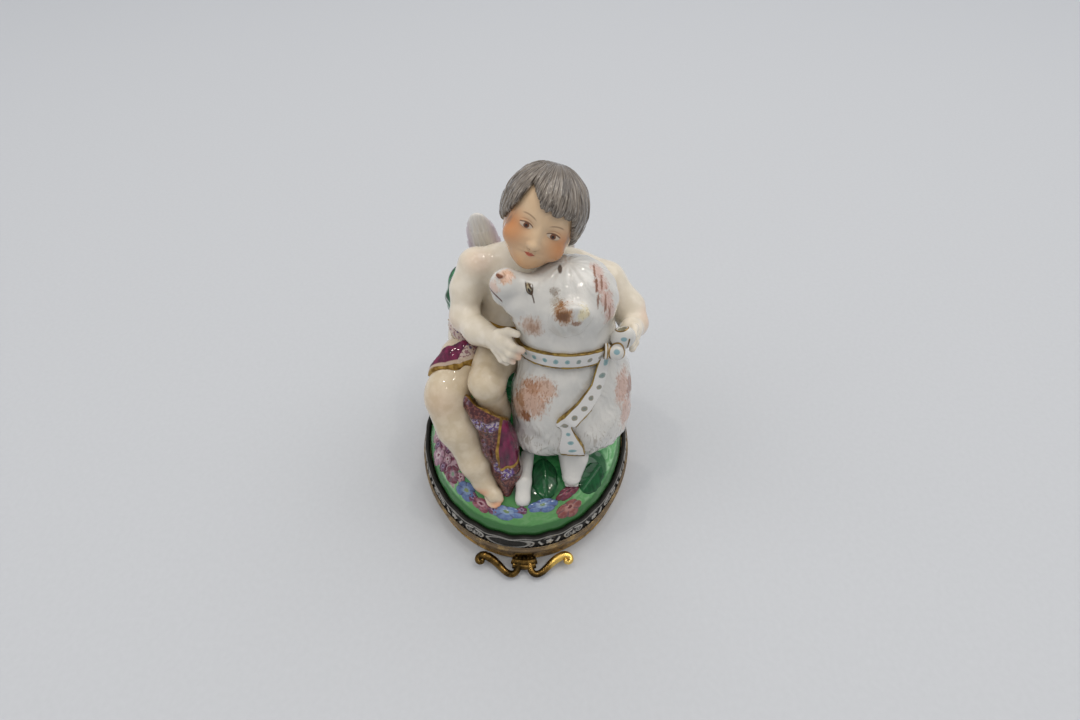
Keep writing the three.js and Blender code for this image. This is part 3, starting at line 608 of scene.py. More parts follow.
def knuckle_profile(x):
    """A short barrel with softened ends, bored for the pin."""
    half = knuckle_length / 2
    lip = 0.18
    return [(x - half, pin_radius + 0.08), (x - half, knuckle_radius - lip), (x - half + lip, knuckle_radius),
            (x + half - lip, knuckle_radius), (x + half, knuckle_radius - lip), (x + half, pin_radius + 0.08)]


def hinge_leaf(name, numbers, low, high, inner, material):
    """Knuckles and the bearer that joins them to the mount, as one soldered piece."""
    places = [(n - 2) * knuckle_pitch for n in numbers]
    piece = turned_on_pin(name, [knuckle_profile(x) for x in places], material)
    mesh = bmesh.new()
    mesh.from_mesh(piece.data)
    near = middle + inner
    far = hinge_y - pin_radius - 0.25
    size = Vector((knuckle_length, far - near, high - low))
    for x in places:
        box = bmesh.ops.create_cube(mesh, size=1.0)["verts"]
        for vertex in box:
            vertex.co = Vector((x, (near + far) / 2, (low + high) / 2)) + vertex.co * size
        edges = {edge for vertex in box for edge in vertex.link_edges}
        bmesh.ops.bevel(mesh, geom=list(edges), offset=0.12, segments=2, affect="EDGES")
    mesh.to_mesh(piece.data)
    mesh.free()
    return facing_out(piece)


base_leaf = hinge_leaf(
    "gilt_base_hinge", (1, 3), 0.7, hinge_z - 0.3, half_depth - rim_inset - 0.4, hinge_gilding)
stand_for(base_leaf, "base_half", "gilt_brass", "base_hinge")
body_leaf = hinge_leaf(
    "gilt_body_hinge", (0, 2, 4), hinge_z + 0.3, moulding_high.z - 0.4, half_depth - 0.4, hinge_gilding)
stand_for(body_leaf, "figure_half", "gilt_brass", "body_hinge")
pin_end = pin_high.x
pin = turned_on_pin("brass_hinge_pin", [[
    (-pin_end, 0.02),
    (-pin_end, 0.7),
    (-pin_end + 0.15, 0.98),
    (-pin_end + 0.6, 1.0),
    (-pin_end + 0.6, pin_radius),
    (pin_end - 0.6, pin_radius),
    (pin_end - 0.6, 1.0),
    (pin_end - 0.15, 0.98),
    (pin_end, 0.7),
    (pin_end, 0.02),
]], gilding("pin_brass", 0.3))
stand_for(facing_out(pin), "base_half", "gilt_brass", "hinge_pin")

# Moulding
# The gilt band of the figure half, a half round with a fine fillet above it. It carries the porcelain and
# the gallery, and it is the part that fingers rub, so it has gone the dull brown of old brass.
moulding_foot = moulding_low.z
moulding_top = moulding_high.z
moulding_ledge = moulding_foot + 1.1
moulding_inner = 4.0
gallery_inset = 0.85
moulding = turned_oval("gilt_moulding", [
    (0.55, moulding_foot),
    (0.12, moulding_foot + 0.35),
    (0.0, moulding_foot + 0.85),
    (0.03, moulding_foot + 1.25),
    (0.2, moulding_foot + 1.55),
    (0.34, moulding_foot + 1.62),
    (0.34, moulding_foot + 1.85),
    (0.42, moulding_top),
    (gallery_inset - 0.3, moulding_top),
    (gallery_inset - 0.25, moulding_ledge),
    (moulding_inner, moulding_ledge),
    (moulding_inner, moulding_foot),
], gilding("dull_gilding", 0.8, gold="BC9E6C", brown="82705A"), rounding=0.3)
stand_for(moulding, "figure_half", "gilt_brass", "body_moulding")

# Gallery
# A silver band pressed in relief and blackened in its hollows, with a scalloped edge that laps the foot of
# the porcelain. Scrolls and small flowers alternate under the scallops, and a plain oval is left in front.
gallery_low, gallery_high = box_of("silver_gallery")
gallery_foot = gallery_low.z
gallery_top = gallery_high.z
gallery_lean = 0.4
gallery_wall = 0.65
scallop_count = 28
scallop_depth = 0.6
cartouche_way = -98.0
cartouche_span = 9.8
relief_height = 0.42
unit_width = 5.9
gallery_round = 165.0


def smoothstep(low, high, x):
    """0 at low and 1 at high, with an even slope between."""
    t = np.clip((x - low) / (high - low), 0, 1)
    return t * t * (3 - 2 * t)


def bead(u, v, at_u, at_v, radius):
    """The height of a round bead at a point of the wall."""
    return np.sqrt(np.clip(radius ** 2 - (u - at_u) ** 2 - (v - at_v) ** 2, 0, None))


def wire_height(u, v, stations):
    """The height of a modelled line that runs through [u, v, radius] stations."""
    height = np.zeros_like(u)
    for (au, av, ar), (bu, bv, br) in zip(stations, stations[1:]):
        lu, lv = bu - au, bv - av
        t = np.clip(((u - au) * lu + (v - av) * lv) / (lu * lu + lv * lv), 0, 1)
        radius = ar + t * (br - ar)
        gap = np.hypot(u - au - t * lu, v - av - t * lv)
        height = np.maximum(height, np.sqrt(np.clip(radius ** 2 - gap ** 2, 0, None)))
    return height


def spiral(centre_u, centre_v, outer, inner, start, turns, thick, thin):
    """Stations along a scroll that winds inwards."""
    steps = 16
    stations = []
    for n in range(steps + 1):
        share = n / steps
        angle = math.radians(start) + 2 * math.pi * turns * share
        radius = outer + share * (inner - outer)
        stations.append((centre_u + radius * math.cos(angle), centre_v + radius * math.sin(angle),
                         thick + share * (thin - thick)))
    return stations


def scroll_unit(u, v):
    """Two scrolls back to back over a leaf."""
    scroll = spiral(1.35, 2.0, 1.05, 0.3, 100, -1.3, 0.36, 0.2)
    shoulder = [(0.1, 3.2, 0.2), (0.5, 3.1, 0.34), (1.1, 3.05, 0.36)]
    side_leaf = [(0.1, 0.7, 0.18), (0.42, 1.3, 0.3), (0.3, 2.2, 0.14)]
    height = wire_height(u, v, [(0, 0.8, 0.2), (0, 1.7, 0.36), (0, 2.8, 0.16)])
    for side in (-1, 1):
        height = np.maximum(height, bead(side * u, v, 1.35, 2.0, 0.32))
        for line in (scroll, shoulder, side_leaf):
            height = np.maximum(height, wire_height(side * u, v, line))
    return height


def flower_unit(u, v):
    """A five-petalled flower between two curling leaves."""
    away = np.hypot(u, v - 2.0)
    turn = np.arctan2(v - 2.0, u)
    petals = 1.12 * (0.72 + 0.28 * np.abs(np.cos(2.5 * turn)))
    height = 0.34 * smoothstep(petals, petals - 0.35, away) * (0.75 + 0.25 * np.abs(np.cos(2.5 * turn)))
    height = np.maximum(height, 1.2 * bead(u, v, 0, 2.0, 0.36))
    leaf = [(1.2, 1.2, 0.16), (1.9, 1.5, 0.4), (2.4, 2.4, 0.34), (2.15, 3.2, 0.14)]
    garland = [(1.3, 2.9, 0.2), (0.7, 3.3, 0.26), (0.0, 3.35, 0.28)]
    for side in (-1, 1):
        for line in (leaf, garland):
            height = np.maximum(height, wire_height(side * u, v, line))
    return height


def gallery_relief(around, v, edge):
    """The height of the ornament at a way round the oval and a height up the wall."""
    unit = around / 360 * scallop_count
    number = np.round(unit)
    u = (unit - number) * unit_width
    flower = number.astype(int) % 2 == 0
    height = np.where(flower, flower_unit(u, v), scroll_unit(u, v))
    beads = (u / unit_width * 7 + 0.5) % 1.0 - 0.5
    height = np.maximum(height, bead(beads * unit_width / 7, v, 0, 0.36, 0.34))
    away = ((around - cartouche_way + 180) % 360 - 180) / 360 * gallery_round
    oval = np.hypot(away / (cartouche_span / 2), (v - 2.1) / 1.5)
    frame = 0.3 * np.exp(-((oval - 1.0) / 0.13) ** 2)
    inside = smoothstep(1.16, 1.04, oval)
    height = height * (1 - inside) + np.maximum(frame, 0.12 * smoothstep(1.0, 0.8, oval)) * inside
    rolled = bead(np.zeros_like(v), v, 0, edge - 0.28, 0.28)
    return np.minimum(np.maximum(height, rolled), relief_height)


def oval_row(radius, z, ways):
    """Points at an even distance in from the mount, all the way round the oval."""
    across = radius * np.cos(ways)
    along = (radius + oval_stretch) * np.sin(ways) + middle
    return np.stack([across, along, z * np.ones_like(ways)], -1)


gallery_sides = 1120
gallery_rows = 34
around_ways = np.linspace(-180, 180, gallery_sides, endpoint=False)
turns = np.radians(around_ways)
wall_height = gallery_top - gallery_foot
edge_dip = scallop_depth * (0.5 - 0.5 * np.cos(scallop_count * turns))
wall_shares = [*np.linspace(0, 1, gallery_rows), 1.0, 0.75, 0.5, 0.25, 0.0]
gallery_points = []
gallery_relieved = []
for n, share in enumerate(wall_shares):
    z = gallery_foot + share * wall_height - smoothstep(0.55, 1.0, share) * edge_dip
    radius = half_width - gallery_inset - gallery_lean * smoothstep(0.1, 1.25, share) * 1.1
    if n < gallery_rows:
        relief = gallery_relief(around_ways, np.full_like(turns, share * wall_height), wall_height)
    else:
        relief = np.zeros_like(turns)
        radius -= gallery_wall
    gallery_points.append(oval_row(radius + relief, z, turns))
    gallery_relieved.append(relief)
index = np.arange(len(wall_shares) * gallery_sides).reshape(-1, gallery_sides)
below = np.roll(index, -1, 0)
gallery_faces = np.stack([index, np.roll(index, -1, 1), np.roll(below, -1, 1), below], -1).reshape(-1, 4)
silver = Finish("blackened_silver", Metallic=0.9, Roughness=0.4)
raised = (silver.field("relief") + 0.1 * silver.noise(2.2, 3.0) - 0.05).ramp(0.1, 0.36)
silver.colour = silver.mix(raised, "23211E", "BEBAB2")
silver.wear(
    roughness=0.55 - 0.25 * raised, metallic=0.55 + 0.4 * raised, bump=silver.noise(4.0, 3.0), depth=0.03)
gallery = new_piece("silver_relief_gallery", np.concatenate(gallery_points).tolist(), gallery_faces.tolist(),
                    silver.material, {"relief": gallery_relieved})
stand_for(facing_out(gallery), "figure_half", "oxidised_silver", "silver_gallery")

# Mound
# The hollow porcelain lid of the box, a low dome cast in one with the figures. It is glazed green in brush
# strokes, darker between the figures and pale at the edge, and on its left it is left white under a carpet
# of flowers. The pale edge is partly a painted highlight, and the darker front is painted shade.
mound_high = box_of("mound")[1]
mound_crown = mound_high.z
dome_width = 22.75
dome_depth = dome_width + oval_stretch
dome_lip = gallery_top - 0.4
dome_fullness = 2.4
dome_shoulder = 0.65
mound_wall = 2.1


def dome_height(share, lip, crown):
    """The height of a full dome at a share of the way from its middle to its lip."""
    return lip + (crown - lip) * np.clip(1 - share ** dome_fullness, 0, None) ** dome_shoulder


def knolls(x, y):
    """The soft unevenness of the modelled ground."""
    broad = 0.16 * np.sin(0.55 * x + 1.3) * np.sin(0.47 * y)
    return broad + 0.08 * np.sin(1.3 * x - 0.9 * y) + 0.05 * np.sin(2.1 * y + x)


def ground_height(x, y):
    """How far the mound's surface lies above its crown, which is less than nothing away from the middle."""
    share = np.minimum(np.hypot(x / dome_width, y / dome_depth), 0.999)
    return dome_height(share, dome_lip, mound_crown) - mound_crown


mound_sides = 240
mound_turns = np.linspace(0, 2 * np.pi, mound_sides, endpoint=False)
dome_rows = 70
foot_inset = 1.85
mound_rows = []
for n in range(1, dome_rows + 1):
    share = math.sin(0.5 * math.pi * n / dome_rows)
    x = dome_width * share * np.cos(mound_turns)
    y = dome_depth * share * np.sin(mound_turns)
    z = dome_height(share, dome_lip, mound_crown) + knolls(x, y) * smoothstep(1.0, 0.93, share)
    mound_rows.append(np.stack([x, y + middle, np.minimum(z, mound_crown + 0.3)], -1))
foot_profile = (
    (2.2, dome_lip - 1.2),
    (foot_inset + 0.1, gallery_foot + 1.0),
    (foot_inset, gallery_foot + 0.7),
    (foot_inset, gallery_foot),
    (3.7, gallery_foot),
)
for inset, z in foot_profile:
    mound_rows.append(oval_row(half_width - inset, z, mound_turns))
for n in range(20, 0, -1):
    share = math.sin(0.5 * math.pi * n / 20)
    z = dome_height(share, gallery_top - mound_wall / 2, mound_crown - mound_wall)
    x = (dome_width - mound_wall) * share * np.cos(mound_turns)
    y = (dome_depth - mound_wall) * share * np.sin(mound_turns)
    mound_rows.append(np.stack([x, y + middle, np.full(mound_sides, z)], -1))
index = np.arange(len(mound_rows) * mound_sides).reshape(-1, mound_sides)
beside = np.roll(index, -1, 1)
mound_faces = np.stack([index[:-1], beside[:-1], beside[1:], index[1:]], -1).reshape(-1, 4).tolist()
crown_point = index.size
for n in range(mound_sides):
    mound_faces.append([crown_point, index[0, n], beside[0, n]])
    mound_faces.append([crown_point + 1, index[-1, n], beside[-1, n]])
mound_points = np.concatenate(mound_rows).tolist()
mound_points += [[0, middle, mound_crown], [0, middle, mound_crown - mound_wall]]
within = np.zeros(len(mound_points))
within[(dome_rows + len(foot_profile) - 1) * mound_sides:] = 1.0
within[crown_point] = 0.0

grass = Finish("green_glaze", Roughness=0.1, Coat_Weight=0.7, Coat_Roughness=0.03)
grass_x, grass_y = grass.split(grass.place)[:2]
from_middle = ((grass_x / dome_width) ** 2 + ((grass_y - middle) / dome_depth) ** 2) ** 0.5
stroke_place = grass.stretched(grass.place, (1.0, 1.0, 2.4))
strokes = grass.noise(0.42, 4.0, vector=stroke_place, Distortion=1.2)
# The edge is glazed a paler green, made paler still as a painted highlight.
pale_highlit_edge = from_middle.ramp(0.8, 0.93)
grass.colour = grass.mix(strokes.ramp(0.35, 0.65), "1F6A38", "3F8E50")
grass.lay(pale_highlit_edge, grass.mix(strokes.ramp(0.4, 0.6), "68A66A", "9AC898"))
# Painted shade: the front of the mound is painted darker.
front_shade = (grass_y - middle).ramp(-16.0, -24.0) * (0.55 + 0.4 * strokes)
grass.lay(front_shade, "4A7C40")
rim_stroke = (from_middle + 0.03 * (strokes - 0.5)).ramp(0.952, 0.968)
grass.lay(rim_stroke * 0.8, "2A5C2E")
deep = grass.spot((2.0, -19.0 + middle, 14.0), (7.0, 5.0, 9.0)).ramp(0.0, 0.45)
grass.lay(deep * (0.7 + 0.3 * strokes), "07331A")
right_dab = grass.spot((16.2, -13.6 + middle, 12.6), (2.6, 4.2, 4.0)).ramp(0.0, 0.3)
grass.lay(right_dab * 0.9, "0F5128")
bare = grass.spot((-19.5, -6.0 + middle, 11.0), (8.5, 19.0, 12.0)) + 0.35 * strokes - 0.2
bare = bare.ramp(0.1, 0.25) * from_middle.ramp(0.955, 0.94)
grass.lay(bare, grass.mix(grass.noise(0.8).ramp(0.45, 0.6), "A68890", "6A2E44"))
grass.lay(grass.field("inside"), grass.mix(grass.noise(0.3, 2.0), "DEDCD8", "E6E4E0"))
grass.wear(bump=strokes)
mound = new_piece("porcelain_mound", mound_points, mound_faces, grass.material, {"inside": within})
stand_for(facing_out(mound), "figure_half", "green_glaze", "mound")

# Boy: shoulders and arms
# The figures are modelled in clay, cast in one with the mound and fired. Here the boy's body and arms are
# one modelled form, in millimetres from the mound's crown. The flesh is ivory glaze with a peach blush.
crown_place = np.array([0.0, middle, mound_crown])


def turning(order, degrees):
    """A turn about the axes in the order that is named."""
    turn = np.eye(3)
    for axis in order:
        angle = math.radians(degrees["XYZ".index(axis)])
        c, s = math.cos(angle), math.sin(angle)
        one = {"X": [[1, 0, 0], [0, c, -s], [0, s, c]], "Y": [[c, 0, s], [0, 1, 0], [-s, 0, c]],
               "Z": [[c, -s, 0], [s, c, 0], [0, 0, 1]]}[axis]
        turn = turn @ np.array(one)
    return turn


def egg(centre, radii, turn=(0, 0, 0)):
    """An egg-shaped form: its distance to each point, negative inside."""
    centre = np.array(centre, np.float32)
    radii = np.array(radii, np.float32)
    axes = turning("XYZ", turn).astype(np.float32)

    def distance(points):
        shares = (points - centre) @ axes / radii
        near = np.linalg.norm(shares, axis=1)
        slope = np.linalg.norm(shares / radii, axis=1) + 1e-9
        return near * (near - 1) / slope

    return distance


def limb(start, end, start_radius, end_radius):
    """A round form that tapers from one point to another."""
    start = np.array(start, np.float32)
    line = np.array(end, np.float32) - start
    square = float(line @ line)

    def distance(points):
        away = points - start
        share = np.clip(away @ line / square, 0, 1)
        gap = np.linalg.norm(away - share[:, None] * line, axis=1)
        return gap - start_radius - share * (end_radius - start_radius)

    return distance


def smooth_least(a, b, softness):
    """The lesser of two distances, with the crease between them filled."""
    near = np.clip(softness - np.abs(a - b), 0, None) / softness
    return np.minimum(a, b) - near * near * softness / 4


def blended(softness, *forms):
    """Forms pressed into one, with a fillet between them."""
    def distance(points):
        total = forms[0](points)
        for form in forms[1:]:
            total = smooth_least(total, form(points), softness)
        return total

    return distance


def chain(softness, *stations):
    """Limbs joined end to end through (x, y, z, radius) stations."""
    links = [limb(a[:3], b[:3], a[3], b[3]) for a, b in zip(stations, stations[1:])]
    return blended(softness, *links)


def carved(form, softness, *cuts):
    """A form with softly edged hollows cut into it."""
    def distance(points):
        total = form(points)
        for cut in cuts:
            total = -smooth_least(-total, cut(points), softness)
        return total

    return distance


def cut_back(form, *neighbours, sink=0.12):
    """A form cut back to its neighbours, which it enters by a hair so that no slit shows."""
    def distance(points):
        total = form(points)
        for other in neighbours:
            total = np.maximum(total, -sink - other(points))
        return total

    return distance


def placed(form, place, turn):
    """A form made about the origin, turned and moved to its place."""
    axes = turning("ZXY", turn).astype(np.float32)
    place = np.array(place, np.float32)
    return lambda points: form((points - place) @ axes)


def drawn_onto(form, points, farthest, reach=0.04):
    """The points moved straight onto the form's surface, by no more than the farthest step."""
    here = form(points)
    slope = np.stack([form(points + step) - here for step in np.eye(3, dtype=np.float32) * reach], 1) / reach
    size = np.linalg.norm(slope, axis=1) + 1e-6
    return points - slope * (np.clip(here / size, -farthest, farthest) / size)[:, None]


def sampled(form, axes, step):
    """The form's distances on a grid: coarse everywhere, and fine only near its surface."""
    sparse = [axis[1::3] for axis in axes]
    coarse = form(np.stack(np.meshgrid(*sparse, indexing="ij"), -1).reshape(-1, 3).astype(np.float32))
    coarse = coarse.reshape([len(axis) for axis in sparse])
    values = coarse.repeat(3, 0).repeat(3, 1).repeat(3, 2).astype(np.float32)
    near = np.argwhere(np.abs(values) < 4.5 * step)
    low = np.array([axis[0] for axis in axes])
    values[tuple(near.T)] = form((low + near * step).astype(np.float32))
    return values


def main_skin(points, faces):
    """The largest closed skin, without the crumbs that a cut can leave."""
    label = np.arange(len(points))
    while True:
        least = label[faces].min(1)
        new = label.copy()
        np.minimum.at(new, faces, least[:, None])
        new = new[new]
        if (new == label).all():
            break
        label = new
    names, counts = np.unique(label, return_counts=True)
    highlit_right_end = label == names[counts.argmax()]
    renumber = np.cumsum(highlit_right_end) - 1
    return points[highlit_right_end], renumber[faces[highlit_right_end[faces[:, 0]]]]


def cast(name, form, nodes, step, material, relief=None, fields=None, margin=1.5, levels=1):
    """A modelled piece, within the boxes of the frame's nodes that it stands for. Its mesh is refined and
    drawn onto the form, and the relief is raised on it. The fields are numbers on its points for paint."""
    corners = np.array([box_of(node) for node in nodes]) - crown_place
    low = corners[:, 0].min(0) - margin
    high = corners[:, 1].max(0) + margin
    axes = [low[k] + step * np.arange(3 * math.ceil((high[k] - low[k]) / step / 3)) for k in range(3)]
    volume = openvdb.FloatGrid(1.0)
    volume.copyFromArray(sampled(form, axes, step))
    points, faces = volume.convertToQuads(isovalue=0.0)
    points, faces = main_skin(points * step + low, faces.astype(int)[:, ::-1])
    piece = new_piece(name, points.tolist(), faces.tolist())
    refine = piece.modifiers.new("refine", "SUBSURF")
    refine.levels = refine.render_levels = levels
    graph = bpy.context.evaluated_depsgraph_get()
    mesh = bpy.data.meshes.new_from_object(piece.evaluated_get(graph))
    piece.modifiers.clear()
    piece.data = mesh
    points = np.zeros(len(mesh.vertices) * 3, np.float32)
    mesh.vertices.foreach_get("co", points)
    bare = points = drawn_onto(form, points.reshape(-1, 3), 0.4 * step)
    mesh.vertices.foreach_set("co", points.ravel())
    if relief:
        mesh.update()
        outward = np.zeros(len(mesh.vertices) * 3, np.float32)
        mesh.vertex_normals.foreach_get("vector", outward)
        outward = outward.reshape(-1, 3)
        points = points + outward * relief(points, outward)[:, None]
    mesh.vertices.foreach_set("co", ((points + crown_place) / 1000).astype(np.float32).ravel())
    for key, field in (fields or {}).items():
        layer = mesh.attributes.new(key, "FLOAT", "POINT")
        layer.data.foreach_set("value", np.asarray(field(bare), np.float32))
    mesh.materials.clear()
    mesh.materials.append(material)
    mesh.shade_smooth()
    return piece


def ground(points):
    """The mound under the figures."""
    top = ground_height(points[:, 0], points[:, 1])
    inner = ground_height(points[:, 0] * 0.98, points[:, 1] * 0.98)
    slope = np.hypot(1, (inner - top) / (0.02 * np.hypot(points[:, 0], points[:, 1]) + 1e-3))
    return (points[:, 2] - top) / slope


torso_form = blended(
    3.0,
    egg((-1.6, 5.6, 33), (7.4, 5.3, 7.6)),
    egg((-3, 5.2, 26), (6.4, 5.4, 6.2)),
    egg((-5.6, 3.6, 21), (7.6, 6.4, 6)),
    egg((-10.4, 1.8, 21), (5, 5.2, 5.4)),
    limb((-5.6, 5, 36.8), (8, 6, 36.4), 3, 3),
    limb((1.3, 5, 38), (3, 3.4, 44), 3, 2.7),
)
right_arm_form = blended(
    1.4,
    chain(1.2, (-8.4, 4.4, 36.8, 3.7), (-10.4, 2.4, 33, 3.1), (-11, -1, 29, 2.7), (-8.2, -4.8, 29, 2.5),
          (-5, -7.8, 30, 2)),
    egg((-3.4, -9.2, 30.8), (2.5, 1.8, 2.0), (0, -20, -35)),
)
right_fingers = blended(
    0.25,
    chain(0.3, (-3.6, -9.8, 31.9, 0.85), (-1.4, -11.0, 31.1, 0.78), (0.2, -10.6, 29.9, 0.66)),
    chain(0.3, (-3.6, -10.3, 31.0, 0.85), (-1.9, -11.5, 30.0, 0.78), (-0.5, -11.2, 28.8, 0.66)),
    chain(0.3, (-4.0, -10.3, 30.1, 0.8), (-2.6, -11.6, 28.9, 0.74), (-1.5, -11.4, 27.8, 0.62)),
    chain(0.3, (-4.6, -10.0, 29.4, 0.72), (-3.5, -11.2, 28.2, 0.66), (-2.6, -11.2, 27.2, 0.56)),
    chain(0.3, (-4.0, -8.6, 32.0, 0.9), (-2.2, -9.2, 33.2, 0.78), (-0.6, -9.6, 33.0, 0.66)),
)
left_arm_form = blended(
    1.4,
    chain(1.2, (10, 5.6, 35.6, 3.6), (16, 4.2, 33.6, 3.5), (20.4, 1.6, 29, 3.2), (21.4, -1.4, 27.6, 2.6),
          (20.8, -3.6, 28.4, 2)),
    egg((20.2, -4.8, 29.4), (2, 2.2, 1.8)),
)
left_fingers = blended(
    0.25,
    *[chain(0.3, (20.6 + 0.3 * n, -5.8, 30.8 - 0.9 * n, 0.75), (20.2 + 0.3 * n, -7.6, 30.8 - n, 0.7),
            (19.6 + 0.3 * n, -8.9, 30.4 - n, 0.6)) for n in range(3)],
)
right_arm_whole = blended(0.6, right_arm_form, right_fingers)
left_arm_whole = blended(0.6, left_arm_form, left_fingers)
shoulder_blades = (
    egg((-4.6, 9.6, 34.5), (2.6, 1.3, 3.2), (0, -10, 0)),
    egg((2.6, 9.8, 34.0), (2.6, 1.3, 3.2), (0, 10, 0)),
)
back_groove = limb((-3.4, 11.2, 23), (-0.6, 11.4, 36), 0.9, 0.7)
navel = egg((-2.8, -0.6, 24.4), (0.6, 0.5, 0.8))
elbow_crease = limb((-11.5, 0.5, 30.8), (-8.6, 0.9, 31.3), 0.35, 0.2)
body_form = blended(1.0, torso_form, right_arm_whole, left_arm_whole, *shoulder_blades)
body_form = carved(body_form, 1.2, back_groove, navel, elbow_crease)


def flesh(name, shade, light, blushes):
    """Ivory glaze over the white body, mottled between two tones, with a peach blush at the given spots."""
    skin = Finish(name, Roughness=0.12, Coat_Weight=0.8, Coat_Roughness=0.03)
    mottle = skin.noise(0.5, 4.0)
    skin.colour = skin.mix(mottle.ramp(0.35, 0.7), shade, light)
    for centre, radii, strength in blushes:
        blush = skin.spot((centre[0], centre[1] + middle, centre[2] + mound_crown), radii)
        skin.lay(blush.ramp(0.0, 0.9) * strength * (0.7 + 0.6 * mottle), "DC8A58")
    skin.wear(bump=skin.noise(1.1, 2.0), depth=0.02)
    return skin.material


body_skin = flesh("ivory_glaze", "DCD1BD", "E5DBCA", [
    ((-12, -1, 28), (5, 6, 4), 0.25),
    ((0.0, -11, 28.5), (3, 3, 3), 0.5),
    ((-8, 2, 40), (5, 5, 4), 0.15),
    ((23, 0, 28), (4, 6, 4), 0.4),
])
body = cast("porcelain_boy_body", body_form, ["boy_torso", "boy_right_arm", "boy_left_arm"], 0.5, body_skin)
stand_for(body, "figure_half", "skin_glaze", "boy_torso", "boy_right_arm", "boy_left_arm")

# Boy: legs
# The right leg is stretched down to the front of the mound, with its toes on the edge. The left is drawn up
# behind the hanging cloth, and its knee shows above it.
right_leg_form = blended(
    1.5,
    chain(1.5, (-8.6, 2, 20, 5), (-12, -3.5, 19.6, 4.5), (-14.8, -9.3, 16.8, 4.1), (-13, -13.3, 9.5, 3.8),
          (-10.2, -16.8, 2.6, 3), (-8.6, -18.9, -1.2, 2.4)),
    limb((-8.4, -18.4, -1.9), (-6.2, -21.6, -2.6), 2.0, 1.6),
    limb((-15.5, -10.6, 15.2), (-13.9, -12.8, 10.4), 3.7, 3.6),
)
toes = []
for x, y, radius in (
    (-4.9, -22.3, 0.74),
    (-5.3, -23.0, 0.6),
    (-5.9, -23.3, 0.55),
    (-6.6, -23.2, 0.5),
    (-7.2, -22.8, 0.45),
):
    level = float(ground_height(x, y))
    knuckle = (x - 0.6, y + 1.4, level + 1.7 * radius)
    toes.append(limb(knuckle, (x, y, level + 0.9 * radius), 0.8 * radius + 0.2, radius))
right_leg_whole = blended(0.35, blended(0.7, right_leg_form, toes[0]), *toes[1:])
left_leg_form = blended(
    1.5,
    chain(1.5, (-2, 1, 19, 5), (-5.8, -5.5, 21.2, 3.9), (-6.7, -10.6, 21, 3.3), (-6, -9, 10, 3.2),
          (-5.4, -8, -3, 2.7)),
    limb((-5.4, -8, -2.4), (-3.6, -12, -2.6), 2.4, 1.9),
)
# The legs' flesh is painted darker than the body's as painted shade; the blushes on it are painted colour.
shaded_leg_skin = flesh("ivory_glaze_legs", "C9B89C", "D5C6AD", [
    ((-15.5, -12.0, 17), (5, 5, 5), 0.15),
    ((-5.2, -23, -3.8), (2.6, 2.2, 1.8), 0.75),
    ((-8.4, -21.0, -1.6), (2.4, 2.2, 1.6), 0.6),
])
for node, form, step in (("boy_right_leg", right_leg_whole, 0.45), ("boy_left_leg", left_leg_form, 0.5)):
    leg = cast("porcelain_" + node, cut_back(form, ground), [node], step, shaded_leg_skin)
    stand_for(leg, "figure_half", "skin_glaze", node)

# Boy: head
# A round child's head, tilted down against the dog's. The features are a plain doll's, set by the usual
# thirds, and they are painted: brown eyes under thin brows, a small red mouth and peach cheeks.
head_place = (4.2, 2, 50.2)
head_turn = (-12, 23, -4)
eye_line = -1.1
eye_span = 2.35
nose_line = -3.5
mouth_line = -5.1
chin_line = -7.0
skull_form = blended(
    2.0,
    egg((0, 0.5, 0.6), (6.3, 6.8, 6.4)),
    egg((0, -1.3, -3.4), (5.6, 5.6, 5.3)),
    egg((0, -4.4, -6.6), (2.3, 2, 1.8)),
)
face_form = blended(
    0.8,
    skull_form,
    *[egg((side * 3.1, -4.3, -3.9), (2.2, 2.0, 2.0)) for side in (-1, 1)],
    egg((0, -5.6, chin_line), (1.5, 1.2, 1.1)),
)
face_form = carved(
    face_form,
    1.1,
    *[egg((side * eye_span, -7.3, eye_line + 0.15), (1.7, 1.25, 1.05)) for side in (-1, 1)],
    egg((0, -7.4, mouth_line + 0.1), (1.0, 0.7, 0.22)),
)
face_form = blended(
    0.55,
    face_form,
    limb((0, -6.0, eye_line + 0.4), (0, -7.0, nose_line + 0.3), 0.45, 0.62),
    egg((0, -7.1, nose_line), (0.78, 0.75, 0.66)),
    *[egg((side * 0.62, -6.6, nose_line - 0.12), (0.42, 0.5, 0.4)) for side in (-1, 1)],
)
lips = blended(
    0.2,
    egg((-0.34, -6.35, mouth_line + 0.18), (0.6, 0.45, 0.24), (0, 12, 0)),
    egg((0.34, -6.35, mouth_line + 0.18), (0.6, 0.45, 0.24), (0, -12, 0)),
    egg((0, -6.3, mouth_line - 0.22), (0.66, 0.45, 0.28)),
)
eyeballs = blended(0.1, *[egg((side * eye_span, -5.35, eye_line), (1.2, 0.9, 0.72)) for side in (-1, 1)])
face_form = blended(0.22, blended(0.3, face_form, lips), eyeballs)
head_form = placed(face_form, head_place, head_turn)
head_skin = Finish("painted_face", Roughness=0.12, Coat_Weight=0.8, Coat_Roughness=0.03)
head_axes = Matrix(turning("ZXY", head_turn).tolist())
face_place = head_skin.node("ShaderNodeMapping", {
    "Vector": head_skin.place,
    "Location": tuple(crown_place + head_place),
    "Rotation": tuple(head_axes.to_euler("XYZ")),
}, vector_type="TEXTURE")
face_x, face_y, face_z = head_skin.split(face_place)
face_side = abs(face_x)
in_front = face_y.ramp(-2.0, -3.0)
face_mottle = head_skin.noise(0.5, 3.0)
